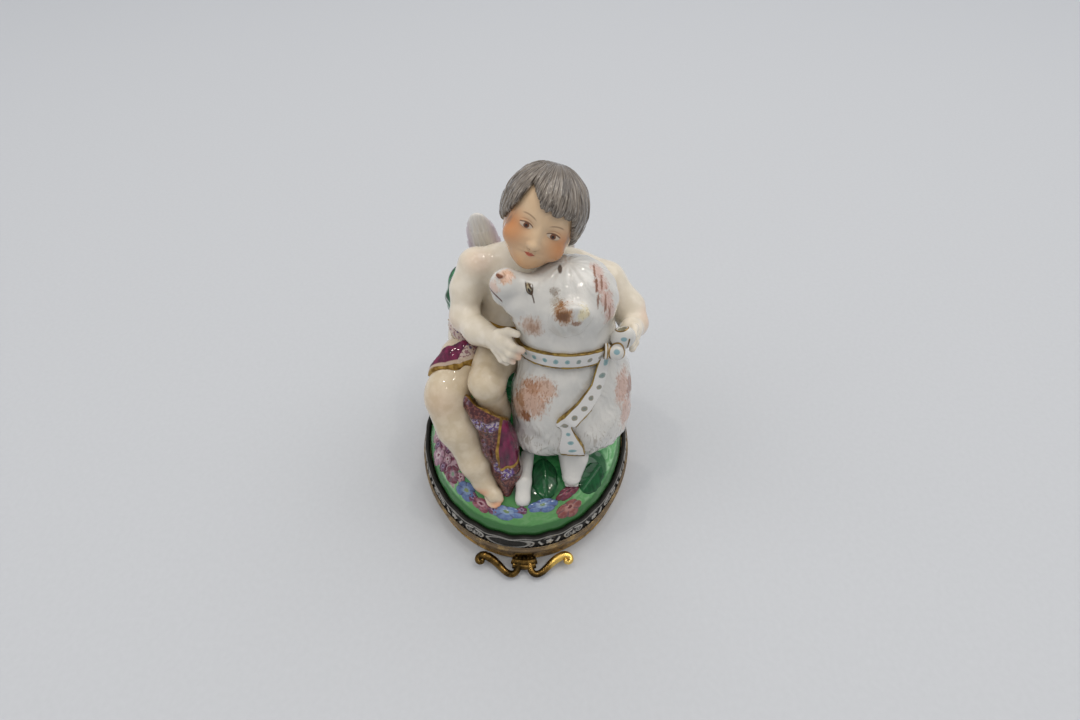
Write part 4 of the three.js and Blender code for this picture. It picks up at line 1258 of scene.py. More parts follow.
# The face's base is a warmer tan than the body's, and darker too: the darkness is painted shade.
head_skin.colour = head_skin.mix(face_mottle, "CFAE88", "DBC09E")
face_map = head_skin.joined(face_side, face_y, face_z)
cheek = head_skin.spot((4.4, -4.4, -2.8), (5.0, 5.5, 4.6), vector=face_map)
head_skin.lay(cheek.ramp(0.0, 0.85) * (0.65 + 0.3 * face_mottle), "C2783C")
head_skin.lay(face_z.ramp(-4.2, -7.4) * 0.55, "C0864E")
temple_strokes = head_skin.noise(1.0, 2.0, vector=head_skin.stretched(face_place, (3.0, 3.0, 0.6)))
temple = face_side.ramp(4.1, 5.3) * face_z.ramp(-4.2, -2.0) * face_y.ramp(-5.4, -4.2)
head_skin.lay(temple * temple_strokes.ramp(0.3, 0.6) * 0.8, "7C6E60")
eye_u = (face_side - eye_span) / 1.15
eye_v = (face_z - eye_line) / 0.5
almond = eye_u * eye_u + eye_v * eye_v
eye_white = almond.ramp(1.0, 0.72) * in_front
head_skin.lay(eye_white, "C9B6A0")
iris = ((face_side - eye_span + 0.05) ** 2 + (face_z - eye_line - 0.04) ** 2) ** 0.5
head_skin.lay(iris.ramp(0.54, 0.42) * eye_white, "6B4028")
head_skin.lay(iris.ramp(0.27, 0.18) * in_front, "24160E")
lid_height = eye_line + 0.5 - 0.36 * eye_u * eye_u
upper_lid = abs(face_z - lid_height).ramp(0.15, 0.05) * abs(eye_u).ramp(1.15, 0.9) * in_front
head_skin.lay(upper_lid * 0.9, "5C3A28")
lid_fold = abs(face_z - lid_height - 0.4).ramp(0.14, 0.04) * abs(eye_u).ramp(1.1, 0.6) * in_front
head_skin.lay(lid_fold * 0.45, "A66A48")
lower_lid_height = eye_line - 0.48 + 0.25 * eye_u * eye_u
lower_lid = abs(face_z - lower_lid_height).ramp(0.1, 0.03) * abs(eye_u).ramp(0.9, 0.5) * in_front
head_skin.lay(lower_lid * 0.4, "96603F")
brow_height = eye_line + 1.75 - 0.26 * (eye_u - 0.1) ** 2
brow = abs(face_z - brow_height).ramp(0.19, 0.04) * abs(eye_u).ramp(1.25, 0.6) * in_front
head_skin.lay(brow * 0.6, "74543E")
nostril = ((face_side - 0.42) ** 2 + (face_z - nose_line + 0.48) ** 2) ** 0.5
head_skin.lay(nostril.ramp(0.2, 0.1) * in_front * 0.55, "9A5A3C")
lip_width = face_side / 0.96
upper_lip = mouth_line + 0.38 - 0.38 * lip_width * lip_width - 0.1 * face_side.ramp(0.26, 0.0)
lower_lip = mouth_line - 0.42 + 0.42 * lip_width * lip_width
mouth = (upper_lip - face_z).ramp(0.0, 0.12) * (face_z - lower_lip).ramp(0.0, 0.12) * in_front
head_skin.lay(mouth * 0.85, "BC5038")
parting_line = abs(face_z - mouth_line + 0.03).ramp(0.08, 0.02) * face_side.ramp(1.05, 0.8) * in_front
head_skin.lay(parting_line * 0.8, "84301F")
head_skin.wear(bump=head_skin.noise(1.1, 2.0), depth=0.01)
head = cast("porcelain_boy_head", cut_back(head_form, torso_form, sink=0.6), ["boy_head"], 0.3,
            head_skin.material, margin=2.0)
stand_for(head, "figure_half", "skin_glaze", "boy_head")

# Boy: hair
# Short grey-brown hair in one cap, brushed down from the crown, with a parting on his right and a straight
# fringe. It is modelled in shallow locks and painted over in fine darker strokes, with pale strokes as
# painted highlights and painted shade on its left side.
hair_cap = blended(2.0, egg((0, 0.4, 0.9), (7.1, 7.9, 6.7)), egg((0, 1.6, -2), (7, 6.6, 5.4)))
hair_whorl = np.array([-1.2, 2.6, 1.0])


def hair_locks(points):
    """The cap of hair about the skull, cut to its fringe in front and its longer ends at the sides."""
    x, y, z = points.T
    sideward = smoothstep(3.6, 6.2, np.abs(x) + 0.9 * np.clip(y, 0, None))
    tips = 0.22 * np.sin(3.1 * x + 0.8) + 0.12 * np.sin(6.3 * x)
    fringe = 2.3 + 0.9 * np.exp(-((x + 3.4) / 1.2) ** 2) - 0.35 * np.minimum(x, 0) + tips
    ends = -4.2 - 0.5 * y - 0.7 * smoothstep(0, -3, x) + 0.25 * np.sin(2.3 * y + 1.4 * x)
    hem = fringe + (ends - fringe) * sideward
    skull = skull_form(points) + 1.0
    cap = hair_cap(points)
    tuck = 0.5 * smoothstep(1.5, 0.0, z - hem)
    return np.maximum(np.maximum(cap + tuck, -skull), (hem - z) * 0.6)


hair_form = placed(hair_locks, head_place, head_turn)
head_turning = turning("ZXY", head_turn)


def strand_angle(points):
    """The way round the whorl at each point of the hair, and its place from the whorl."""
    local = (points - np.array(head_place)) @ head_turning - hair_whorl
    return np.arctan2(local[:, 0], -local[:, 1]), local


def hair_relief(points, outward):
    """Shallow locks with fine strands on them, and the parting."""
    around, local = strand_angle(points)
    lift = local[:, 2] + 0.6 * np.sin(3 * around)
    locks = np.abs(np.sin(9 * around + 0.5 * np.sin(0.9 * lift + 2 * around)))
    strands = np.sin(44 * around + 1.4 * np.sin(0.8 * lift)) + 0.6 * np.sin(71 * around - lift)
    reach = np.hypot(local[:, 0], local[:, 1])
    parting = np.exp(-((local[:, 0] + 2.4 + 0.25 * local[:, 1]) / 0.25) ** 2)
    parting = parting * smoothstep(0.5, -2.0, local[:, 1])
    away = smoothstep(0.5, 2.5, reach)
    return away * (0.15 * (1 - locks) ** 2 * -1.0 + 0.05 * strands) - 0.22 * parting


hair_paint = Finish("grey_brown_glaze", Roughness=0.16, Coat_Weight=0.7, Coat_Roughness=0.05)
hair_round = hair_paint.field("around")
hair_lift = hair_paint.field("lift")
stroke_map = hair_paint.joined(hair_round * 34.0, hair_lift * 0.3)
hair_strokes = hair_paint.noise(1.0, 2.0, vector=stroke_map)
fine_strokes = hair_paint.noise(2.6, 2.0, vector=stroke_map)
hair_tone = hair_paint.noise(0.25, 2.0)
hair_paint.colour = hair_paint.mix(hair_tone.ramp(0.3, 0.7), "736A60", "867C71")
# The left side of the hair is painted browner and darker; the darkening is painted shade.
brown_shaded_side = hair_paint.split(hair_paint.place)[0].ramp(0.5, -3.0)
hair_paint.lay(brown_shaded_side * 0.6, "66563F")
hair_paint.lay(hair_strokes.ramp(0.46, 0.6) * 0.95, "453C34")
# Painted highlights: pale fine strokes.
hair_paint.lay(fine_strokes.ramp(0.54, 0.66) * 0.7, "B4ACA2")
hair_paint.lay(fine_strokes.ramp(0.42, 0.34) * 0.5, "3E3733")
hair_paint.wear(bump=hair_strokes + 0.5 * fine_strokes, depth=0.05)
hair = cast(
    "porcelain_boy_hair", hair_form, ["boy_hair"], 0.32, hair_paint.material, relief=hair_relief, margin=1.2,
    fields={
        "around": lambda points: strand_angle(points)[0],
        "lift": lambda points: strand_angle(points)[1][:, 2],
    })
stand_for(hair, "figure_half", "grey_brown_glaze", "boy_hair")

# Wings
# Two short wings stand out of the boy's back. They are white, with modelled feathers, lilac shading along
# the outer edge and a grey-black touch at the root.
right_wing_axes = ((-7.2, 11.4, 36), (8, -8, 0))
left_wing_axes = ((5.8, 11, 32.4), (8, 22, 0))
right_wing_form = egg(right_wing_axes[0], (3.3, 1.6, 8.6), right_wing_axes[1])
left_wing_form = egg(left_wing_axes[0], (3.3, 1.6, 8), left_wing_axes[1])


def wing_place(axes):
    """What gives a point's place in the wing's own axes."""
    centre, turn = axes
    matrix = turning("XYZ", turn)
    return lambda points: (points - np.array(centre)) @ matrix


def feathers(axes):
    """Three rows of rounded feathers that overlap downwards."""
    where = wing_place(axes)

    def relief(points, outward):
        x, _, z = where(points).T
        row = (8.6 - z) / 3.6 + 0.02 * x * x
        along = row - np.floor(row)
        column = x / 1.05 + 0.5 * (np.floor(row) % 2)
        side = column - np.floor(column) - 0.5
        tip = np.clip(1 - (2 * side) ** 2, 0, 1) ** 0.5
        quill = np.exp(-(side / 0.07) ** 2)
        return 0.14 * np.clip(along * 1.1, 0, 1) * tip * (along < 0.4 + 0.6 * tip) + 0.03 * quill - 0.05

    return relief


for piece_name, node, axes, form in (
    ("porcelain_right_wing", "right_wing", right_wing_axes, right_wing_form),
    ("porcelain_left_wing", "left_wing", left_wing_axes, left_wing_form),
):
    plume = Finish(piece_name + "_glaze", Roughness=0.12, Coat_Weight=0.8, Coat_Roughness=0.03)
    across = plume.field("across")
    high = plume.field("high")
    streak = plume.noise(1.2, 3.0, vector=plume.joined(across * 2.4, high * 0.25))
    plume.colour = plume.mix(streak.ramp(0.35, 0.65), "CFCBC5", "DBD7D0")
    plume.lay(abs(across).ramp(1.1, 2.9) * 0.6, "B79FB4")
    root = plume.spot((1.6, -1.4, 0.0), (1.7, 2.6, 1.0), vector=plume.joined(across, high))
    plume.lay((root * streak.ramp(0.3, 0.6)).ramp(0.1, 0.6) * 0.8, "5B5650")
    plume.wear(bump=streak, depth=0.03)
    where = wing_place(axes)
    wing = cast(piece_name, form, [node], 0.35, plume.material, relief=feathers(axes), fields={
        "across": lambda points, where=where: where(points)[:, 0],
        "high": lambda points, where=where: where(points)[:, 2],
    })
    stand_for(wing, "figure_half", "white_glaze", node)

# Dog: body and tail
# The dog sits upright on the mound. Its body is one modelled form under glossy white glaze, tooled with
# shallow wavy tufts that run into fringes over the feet, and it is dabbed with rust-coloured patches.
dog_body_form = blended(
    3.0,
    egg((10.4, -3.6, 13), (12, 11.4, 13.4)),
    egg((10.2, -7.6, 8.4), (11.8, 9.8, 9.2)),
    egg((6.6, -8.6, 14.5), (8.8, 7.6, 11.5)),
    egg((8.4, -5, 23.5), (9, 7.8, 6)),
    egg((3.2, -12.2, 5.8), (5.2, 4.0, 3.2), (0, 10, 0)),
)
dog_head_form = blended(
    2.0,
    egg((8.8, -4, 36.3), (8.5, 7.6, 8)),
    egg((8.3, -4.8, 30), (9, 7.6, 6)),
    egg((3.4, -6.2, 33), (4.4, 4, 4.6)),
    egg((1.8, -7, 36.4), (3.7, 3.4, 3.6)),
    limb((2.3, -5.8, 39), (-2.0, -6.6, 42.2), 3.2, 2.3),
)
dog_form = blended(2.0, dog_body_form, dog_head_form)
collar_centre = np.array([8.2, -5.2, 26.8], np.float32)
collar_lean = math.radians(18.0)
collar_normal = np.array([0, math.sin(collar_lean), math.cos(collar_lean)], np.float32)


def collar_plane(points):
    """How far each point lies above the middle of the collar."""
    return (points - collar_centre) @ collar_normal


def tufts(points, centre, depth, hem):
    """Wavy locks that run downwards round an upright form, deeper towards its hem."""
    x, y, z = (points - np.array(centre)).T
    around = np.arctan2(x, -y) * 11.0
    wave = 0.9 * np.sin(0.55 * z + 0.35 * around) + 0.45 * np.sin(1.3 * z - 0.6 * around + 1.0)
    locks = np.abs(np.sin(0.75 * around + wave))
    fine = np.abs(np.sin(2.3 * around + 1.6 * wave + 0.5 * z))
    broken = 0.6 + 0.4 * np.sin(0.8 * z + 1.1 * around) * np.sin(0.5 * z - 0.4 * around)
    strength = 0.45 + 0.55 * smoothstep(hem + 9, hem, points[:, 2])
    lumps = 0.12 * np.sin(0.9 * around + 0.4) * np.sin(0.8 * z + 0.5 * around)
    return depth * strength * broken * (0.5 * (1 - locks) ** 3 * -1.6 + 0.45 * (fine - 0.5)) + lumps


def coat(name, patches, shaded_strands=True):
    """White glaze with dabbed patches broken into fine strokes, and darker strands low on the body: fur
    strokes, greyed towards the bottom as painted shade.
    """
    fur = Finish(name, Roughness=0.1, Coat_Weight=0.9, Coat_Roughness=0.03)
    cloud = fur.noise(0.22, 3.0)
    fur.colour = fur.mix(cloud.ramp(0.35, 0.65), "CBC9C3", "D6D3CC")
    dab = fur.noise(0.9, 4.0)
    hatch = fur.noise(1.0, 3.0, vector=fur.stretched(fur.place, (2.4, 2.4, 0.7)), Distortion=0.8)
    for centre, radii, code, strength in patches:
        spot = fur.spot((centre[0], centre[1] + middle, centre[2]), radii)
        ragged = (spot + (dab - 0.5) * 0.7 + (hatch - 0.5) * 0.9) * spot.ramp(0.0, 0.12)
        fur.lay(ragged.ramp(0.12, 0.6) * strength, code)
        hairs = hatch.ramp(0.54, 0.62) * spot.ramp(0.05, 0.4)
        fur.lay(hairs * strength * 0.45, "7E5A3E")
    # Painted shade: darker grey strands over the lower body.
    low = fur.split(fur.place)[2].ramp(33.0, 27.0) * (0.6 if shaded_strands else 0.0)
    strands = fur.noise(1.0, 3.0, vector=fur.stretched(fur.place, (1.8, 1.8, 0.4)), Distortion=1.0)
    fur.lay(strands.ramp(0.54, 0.64) * low, "9A8F80")
    fur.wear(bump=dab + hatch)
    return fur


body_fur = coat("white_dog_glaze", [
    ((1.4, -13.6, 36.8), (5.2, 5.5, 6.0), "BF9276", 0.8),
    ((4.4, -13.6, 39.8), (3.4, 4.5, 3.0), "C4997E", 0.75),
    ((-1.0, -12.6, 32.6), (3.2, 4.5, 3.6), "C09478", 0.7),
    ((1.6, -13.6, 39.4), (2.4, 4.0, 2.0), "A8744E", 0.7),
    ((0.7, -14.2, 32.3), (1.7, 3.0, 1.7), "8E5A34", 0.85),
    ((-0.4, -12.6, 35.6), (1.6, 3.0, 2.4), "A87650", 0.65),
    ((19.6, -9.4, 35.4), (2.8, 6, 5.2), "C49A88", 0.75),
    ((21.0, -10.4, 29.6), (2.8, 6, 5.6), "C69C8A", 0.75),
    ((21.4, -7.6, 33.6), (1.2, 3.4, 6.0), "8E5E48", 0.8),
    ((17, 7, 33), (6, 6, 6), "C98A68", 0.6),
    ((3.0, 9.5, 28), (4, 5, 6), "C98A68", 0.5),
])
dog_below_collar = cut_back(dog_body_form, ground)


def dog_trunk(points):
    """The body, up to the collar."""
    return np.maximum(dog_below_collar(points), collar_plane(points) + 1.2)


def body_tufts(points, outward):
    return tufts(points, (9, -5, 12), 0.5, 2.0)


def tail_waves(points, outward):
    x, y, z = points.T
    return 0.14 * np.sin(2.6 * x + 2.0 * y + 1.5 * np.sin(z))


dog_body = cast("porcelain_dog_body", dog_trunk, ["dog_body"], 0.5, body_fur.material, relief=body_tufts)
stand_for(dog_body, "figure_half", "white_glaze", "dog_body")
dog_tail_form = chain(1.0, (18, 5, 2, 3), (15.6, 11.5, 0.2, 2.6), (10.4, 16.5, -1, 2))
dog_tail = cast("porcelain_dog_tail", cut_back(dog_tail_form, ground), ["dog_tail"], 0.4, body_fur.material,
                relief=tail_waves)
stand_for(dog_tail, "figure_half", "white_glaze", "dog_tail")

# Dog: legs
# The two forelegs come down through the fringes and stand on the mound. They are plain, round and glossy.
leg_fur = coat("white_leg_glaze", [((10, -14, 15.5), (6, 6, 1.5), "D9C7BC", 0.4)], shaded_strands=False)
left_foreleg_form = chain(1.0, (0.8, -13.6, 0.8, 1.4), (0.0, -19.4, -0.8, 1.5), (-0.2, -22.1, -3.0, 1.65))
right_foreleg_form = chain(1.0, (10.6, -14.4, 2, 3.5), (10.1, -17.8, -1.2, 2.1))
for piece_name, node, form, paw in (
    ("porcelain_dog_left_foreleg", "dog_left_foreleg", left_foreleg_form, (-0.2, -23.2, -4.2)),
    ("porcelain_dog_right_foreleg", "dog_right_foreleg", right_foreleg_form, (10.1, -19.4, -2.6)),
):
    x, y, z = paw
    pads = [
        limb((x + side, y + 1.0, z + 0.6), (x + side * 1.2, y + 0.3, z), 0.7, 0.5)
        for side in (-0.8, 0.0, 0.8)
    ]
    leg_form = cut_back(blended(0.5, form, *pads), ground)
    leg = cast(piece_name, leg_form, [node], 0.35, leg_fur.material, margin=1.2)
    stand_for(leg, "figure_half", "white_glaze", node)

# Dog: head and near ear
# A rounded head turned up to the boy, with a short blunt muzzle, a brown nose and a thin painted mouth. The
# slanted eye is outlined in brown-black. The ear lies flat on the cheek, with a brown spot.
muzzle_form = blended(
    1.0,
    dog_head_form,
    egg((-2.6, -7.2, 42.0), (2.4, 2.2, 2.4)),
    egg((-0.6, -7.6, 38.6), (2.4, 2.4, 2.4)),
    egg((-2.9, -7.5, 40.0), (1.6, 1.6, 1.5)),
)
muzzle_form = carved(
    muzzle_form,
    0.35,
    limb((-5.3, -8.4, 42.2), (-3.7, -9.4, 41.4), 0.2, 0.16),
    limb((-3.7, -9.4, 41.4), (-2.7, -9.2, 40.0), 0.16, 0.08),
    egg((1.5, -9.5, 42.3), (0.8, 0.7, 1.3), (0, 20, 0)),
)
muzzle_form = blended(
    0.4,
    muzzle_form,
    egg((-3.0, -7.8, 44.7), (0.75, 0.6, 0.45)),
    egg((1.6, -8.3, 42.3), (0.5, 0.6, 0.95), (0, 20, 0)),
)
ear_form = egg((8.2, -11.0, 38.0), (3.2, 1.3, 4.2), (20, 15, 0))
dog_face = blended(2.2, muzzle_form, ear_form)
head_fur = coat("white_head_glaze", [
    ((1.9, -10.5, 52.7), (3.0, 3.5, 3.2), "BC9A82", 0.65),
    ((2.0, -10.7, 52.6), (1.6, 3.0, 1.8), "A67C5C", 0.55),
    ((-2.2, -7.8, 61.6), (2.2, 2.4, 1.6), "DDA276", 0.6),
    ((-4.2, -8.6, 59.9), (1.5, 2.0, 1.3), "D8AE98", 0.55),
    ((6.0, -11.2, 58.2), (2.0, 3.0, 1.7), "9C8E7A", 0.75),
    ((7.4, -12.0, 57.0), (2.5, 3.4, 2.6), "A2703C", 0.9),
    ((7.1, -12.0, 57.0), (1.5, 3.0, 1.7), "6E4218", 0.95),
    ((9.3, -12.0, 55.6), (1.5, 2.6, 1.0), "8C5C34", 0.8),
    ((10.2, -11.8, 57.2), (1.9, 2.6, 1.7), "E6DAB2", 0.9),
    ((5.7, -8.9, 59.1), (1.3, 2.0, 0.8), "8C8276", 0.75),
    ((12.9, -4.6, 60.2), (1.9, 2.6, 1.8), "C7A092", 0.7),
    ((13.6, -7.0, 59.0), (2.2, 2.6, 2.2), "C49A8C", 0.7),
    ((14.5, -8.2, 56.8), (2.2, 2.6, 2.8), "C69E90", 0.7),
    ((15.4, -8.8, 54.2), (2.0, 2.4, 2.8), "C9A496", 0.7),
    ((12.4, -5.2, 60.2), (0.34, 2.6, 1.7), "86583E", 0.9),
    ((12.7, -7.4, 59.2), (0.36, 2.6, 1.9), "7A4C36", 0.9),
    ((13.0, -8.8, 57.4), (0.34, 2.4, 1.9), "86604C", 0.85),
    ((13.6, -6.6, 59.0), (0.3, 2.6, 2.0), "8C6450", 0.85),
    ((14.3, -8.6, 56.4), (0.3, 2.4, 2.2), "8C6450", 0.85),
    ((15.2, -8.6, 54.4), (0.3, 2.4, 2.0), "946C5A", 0.8),
    ((16.5, -2.0, 53.0), (2.0, 5.0, 4.0), "C99C8C", 0.6),
])
x, y, z = head_fur.split(head_fur.place)
x = x + 0.25 * (head_fur.noise(0.5, 1.0) - 0.5)
mouth_share = (x + 5.3) / 2.6
mouth_height = 59.3 - 0.3 * mouth_share - 1.9 * mouth_share * mouth_share
mouth_length = mouth_share.ramp(-0.1, 0.0) * mouth_share.ramp(1.0, 0.9)
mouth_mark = abs(z - mouth_height).ramp(0.3, 0.14) * mouth_length * y.ramp(-6.8, -7.4)
head_fur.lay(mouth_mark * 0.9, "5A3526")
nose_pad = head_fur.spot((-3.2, -8.2 + middle, 61.8), (0.9, 1.5, 0.55))
nose_mottle = head_fur.noise(1.2)
nose_mask = (nose_pad + (nose_mottle - 0.5) * 0.4).ramp(0.1, 0.4) * 0.95
head_fur.lay(nose_mask, head_fur.mix(nose_mottle, "94522C", "5A2E18"))
eye_x = x - 1.6 + (z - 59.5) * 0.3
eye_z = z - 59.5
eye_ring = ((eye_x / 0.6) ** 2.0 + (eye_z / 1.2) ** 2.0) ** 0.5
eye_side = y.ramp(-7.0, -7.5)
head_fur.lay(eye_ring.ramp(1.1, 0.95) * eye_side, "4A3826")
head_fur.lay(eye_ring.ramp(0.68, 0.5) * eye_side, "A89B7C")
pupil = ((eye_x / 0.28) ** 2.0 + ((eye_z + 0.15) / 0.6) ** 2.0) ** 0.5
head_fur.lay(pupil.ramp(1.0, 0.7) * eye_side, "2A1C12")
tear_line = abs(eye_x - 0.15).ramp(0.18, 0.08) * eye_z.ramp(-2.5, -2.2) * eye_z.ramp(-0.9, -1.2) * eye_side
head_fur.lay(tear_line * 0.85, "4A3424")
tick = head_fur.spot((6.7, -5.3 + middle, 61.0), (0.55, 1.6, 0.5))
head_fur.lay(tick.ramp(0.1, 0.5) * 0.9, "4A3A30")
head_fur.wear()
dog_above_collar = cut_back(dog_face, torso_form, head_form)
ear_patch = egg((8.2, -11.6, 38.2), (3.5, 2.6, 4.4), (20, 15, 0))


def dog_whole_head(points):
    """The head, down to the collar."""
    return np.maximum(dog_above_collar(points), 1.2 - collar_plane(points))


def head_tufts(points, outward):
    behind = smoothstep(2.0, 6.0, points[:, 0])
    return tufts(points, (8, -4, 34), 0.22, 20.0) * (0.25 + 0.75 * behind)


def ear_flap(points):
    """A thin skin of the cheek, where the ear lies flat on it."""
    d = dog_face(points)
    return np.maximum(np.maximum(d - 0.03, ear_patch(points)), -1.0 - d)


dog_head = cast("porcelain_dog_head", dog_whole_head, ["dog_head"], 0.42, head_fur.material, margin=3.0,
                relief=head_tufts)
stand_for(dog_head, "figure_half", "white_glaze", "dog_head")
ear = cast("porcelain_dog_near_ear", ear_flap, ["dog_near_ear"], 0.3, head_fur.material, margin=2.5,
           relief=head_tufts)
stand_for(ear, "figure_half", "white_glaze", "dog_near_ear")

# Dog: collar, bow and ribbon end
# A flat band round the neck is tied in a bow at the dog's left shoulder, and one end hangs down over the
# chest and folds back. All are white with gilt edges and small blue-green and brown dots.
collar_proud = 0.7
collar_half = 1.75
collar_radius = 9.5
dot_pitch = 2.45


def collar_form(points):
    """A flat band laid round the neck."""
    d = dog_form(points)
    return np.maximum(np.maximum(d - collar_proud, np.abs(collar_plane(points)) - collar_half), -0.8 - d)


def ribbon_glaze(name):
    """White ribbon: gilt along the edges, and a row of blue-green and brown dots down the middle."""
    silk = Finish(name, Roughness=0.14, Coat_Weight=0.8, Coat_Roughness=0.03)
    along = silk.field("along")
    across = silk.field("across")
    wobble = silk.noise(0.8, 2.0)
    edge = abs(across) + (wobble - 0.5) * 0.16
    gilt = edge.ramp(0.79, 0.87)
    silk.colour = silk.mix(silk.noise(0.4), "D2D0CC", "DCD9D4")
    beat = along / dot_pitch + (wobble - 0.5) * 0.25
    nearest = beat.math("ROUND", beat)
    away = (beat - nearest) * dot_pitch
    dots = ((away / 0.58) ** 2.0 + ((across + (wobble - 0.5) * 0.4) / 0.36) ** 2.0) ** 0.5
    odd = (nearest * 12.9898).sine()
    silk.lay(dots.ramp(1.1, 0.75) * 0.85, silk.mix(odd.ramp(0.3, 0.5), "72A0A2", "7E7862"))
    silk.lay(dots.ramp(0.5, 0.3) * 0.35, "41707A")
    silk.lay(gilt, silk.mix(wobble.ramp(0.35, 0.65), "6E5426", "A48A4A"))
    silk.wear(metallic=gilt * 0.5, roughness=0.14 + gilt * 0.2, coat=0.8 - gilt * 0.7,
              bump=gilt + 0.3 * wobble, depth=0.04)
    return silk.material


ribbon_silk = ribbon_glaze("white_ribbon_glaze")


def collar_share(points):
    """The place across the collar, with a little more gilding along its lower edge."""
    height = collar_plane(points)
    return np.where(height < 0, 1.1, 1.0) * height / collar_half


def collar_round(points):
    """The way along the collar in millimetres, from its front."""
    away = points - collar_centre
    return np.arctan2(away[:, 0], -away[:, 1]) * collar_radius


collar = cast("porcelain_dog_collar", cut_back(collar_form, torso_form, right_arm_whole), ["dog_collar"], 0.3,
              ribbon_silk, fields={"across": collar_share, "along": collar_round})
stand_for(collar, "figure_half", "white_glaze", "dog_collar")
upper_loop = egg((18.1, -9.2, 31.7), (2.2, 1.6, 2.5), (0, 10, 0))
lower_loop = egg((17.0, -10.7, 29.5), (1.7, 1.3, 1.6))
bow_knot = egg((15.2, -10.3, 29.4), (1.0, 1.4, 1.7))
loop_opening = egg((17.5, -8.7, 34.5), (1.25, 1.1, 1.2))
bow_form = blended(0.3, carved(blended(0.4, upper_loop, lower_loop), 0.12, loop_opening), bow_knot)


def bow_lines(points):
    """How far each point lies from the gilt lines: the opening, the ring of the lower loop, and the folds."""
    x, y, z = points.T
    rise = 0.743 * (y + 11.3) + 0.669 * (z - 30.0)
    opening = np.abs(loop_opening(points) - 0.16)
    ring = np.abs(np.hypot((x - 16.95) / 1.35, rise / 1.7) - 1.0) * 1.4
    fold = np.abs(x - 18.7 - 0.12 * rise) + 2.0 * np.maximum(np.abs(rise - 1.3) - 1.1, 0)
    strings = np.minimum(np.abs(x - 14.75), np.abs(x - 15.35)) + 2.0 * np.maximum(np.abs(rise) - 1.8, 0)
    return np.minimum(np.minimum(opening, ring), np.minimum(fold, strings))


bow_paint = Finish("dotted_bow_glaze", Roughness=0.14, Coat_Weight=0.8, Coat_Roughness=0.03)
bow_wobble = bow_paint.noise(0.8, 2.0)
bow_paint.colour = bow_paint.mix(bow_wobble, "CBC9C3", "D8D5CE")
for dot_place in ((18.0, -10.7, 49.8), (16.9, -11.5, 47.6)):
    dot = bow_paint.spot((dot_place[0], dot_place[1] + middle, dot_place[2]), (0.65, 1.2, 0.5))
    bow_paint.lay(dot.ramp(0.0, 0.3) * 0.8, "6A9AA4")
# Painted shade inside the opening of the upper loop.
bow_paint.lay(bow_paint.field("hollow"), "7C7660")
bow_gilt = (bow_paint.field("edge") + (bow_wobble - 0.5) * 0.14).ramp(0.17, 0.09)
bow_paint.lay(bow_gilt, bow_paint.mix(bow_wobble.ramp(0.35, 0.65), "5E4A20", "A8823A"))
bow_paint.wear(metallic=bow_gilt * 0.6, roughness=0.14 + bow_gilt * 0.2, bump=bow_gilt + bow_wobble,
               depth=0.04)


def loop_opening_shade(points):
    """1 inside the opening of the upper loop, where painted shade is laid."""
    return smoothstep(-0.1, -0.3, upper_loop(points)) * smoothstep(0.15, 0.02, loop_opening(points))


bow = cast("porcelain_collar_bow", bow_form, ["collar_bow"], 0.3, bow_paint.material, levels=2,
           fields={"edge": bow_lines, "hollow": loop_opening_shade})
stand_for(bow, "figure_half", "white_glaze", "collar_bow")
ribbon_path = np.array([
    (15.6, -11.4, 27.0),
    (14.4, -14.0, 23.0),
    (11.6, -15.8, 19.4),
    (8.2, -17.2, 16.4),
    (9.0, -17.6, 12.6),
    (10.0, -17.4, 7.2),
])


def ribbon_frame(points):
    """The place along the ribbon's line, the place across it and the way off it."""
    best = np.full(len(points), 1e9)
    along = np.zeros(len(points))
    across = np.zeros(len(points))
    start = 0.0
    for a, b in zip(ribbon_path, ribbon_path[1:]):
        line = b - a
        length = np.linalg.norm(line)
        line = line / length
        share = np.clip((points - a) @ line, 0, length)
        away = points - a - share[:, None] * line
        side = np.cross(line, np.array([0.1, -1.0, 0.3]))
        side = side / np.linalg.norm(side)
        gap = np.linalg.norm(away, axis=1)
        nearer = gap < best
        best = np.where(nearer, gap, best)
        along = np.where(nearer, start + share, along)
        across = np.where(nearer, away @ side, across)
        start += length
    return along, across, best


def ribbon_half(along):
    """Half the ribbon's width, narrower at the fold and wider towards its end."""
    return 1.85 - 0.8 * smoothstep(14.4, 15.6, along) + 1.45 * smoothstep(15.6, 22.5, along)


def ribbon_foot(points):
    """How far each point lies above the straight cut end."""
    return points[:, 2] - 6.9 + 0.12 * (points[:, 0] - 10)


def ribbon_share(points):
    """The place across the ribbon as a share of half its width, so made that the end is gilt and the lower
    part's left edge plain."""
    along, across, gap = ribbon_frame(points)
    share = across / ribbon_half(along)
    share = np.where(along > 15.2, np.minimum(share, 0.6), share)
    return np.where(ribbon_foot(points) < 0.7, 1.0, share)


def ribbon_form(points):
    """The ribbon lying on the dog's chest, thicker where it folds back."""
    along, across, gap = ribbon_frame(points)
    d = dog_form(points)
    fold = 0.35 * np.exp(-((along - 13.6) / 1.2) ** 2)
    sheet = np.maximum(np.maximum(d - 0.85 - fold, 0.05 - d), gap - ribbon_half(along))
    return np.maximum(sheet, -ribbon_foot(points))


ribbon_end = cast(
    "porcelain_ribbon_end", cut_back(ribbon_form, right_foreleg_form), ["ribbon_end"], 0.28, ribbon_silk,
    margin=2.2, fields={"across": ribbon_share, "along": lambda points: ribbon_frame(points)[0]})
stand_for(ribbon_end, "figure_half", "white_glaze", "ribbon_end")

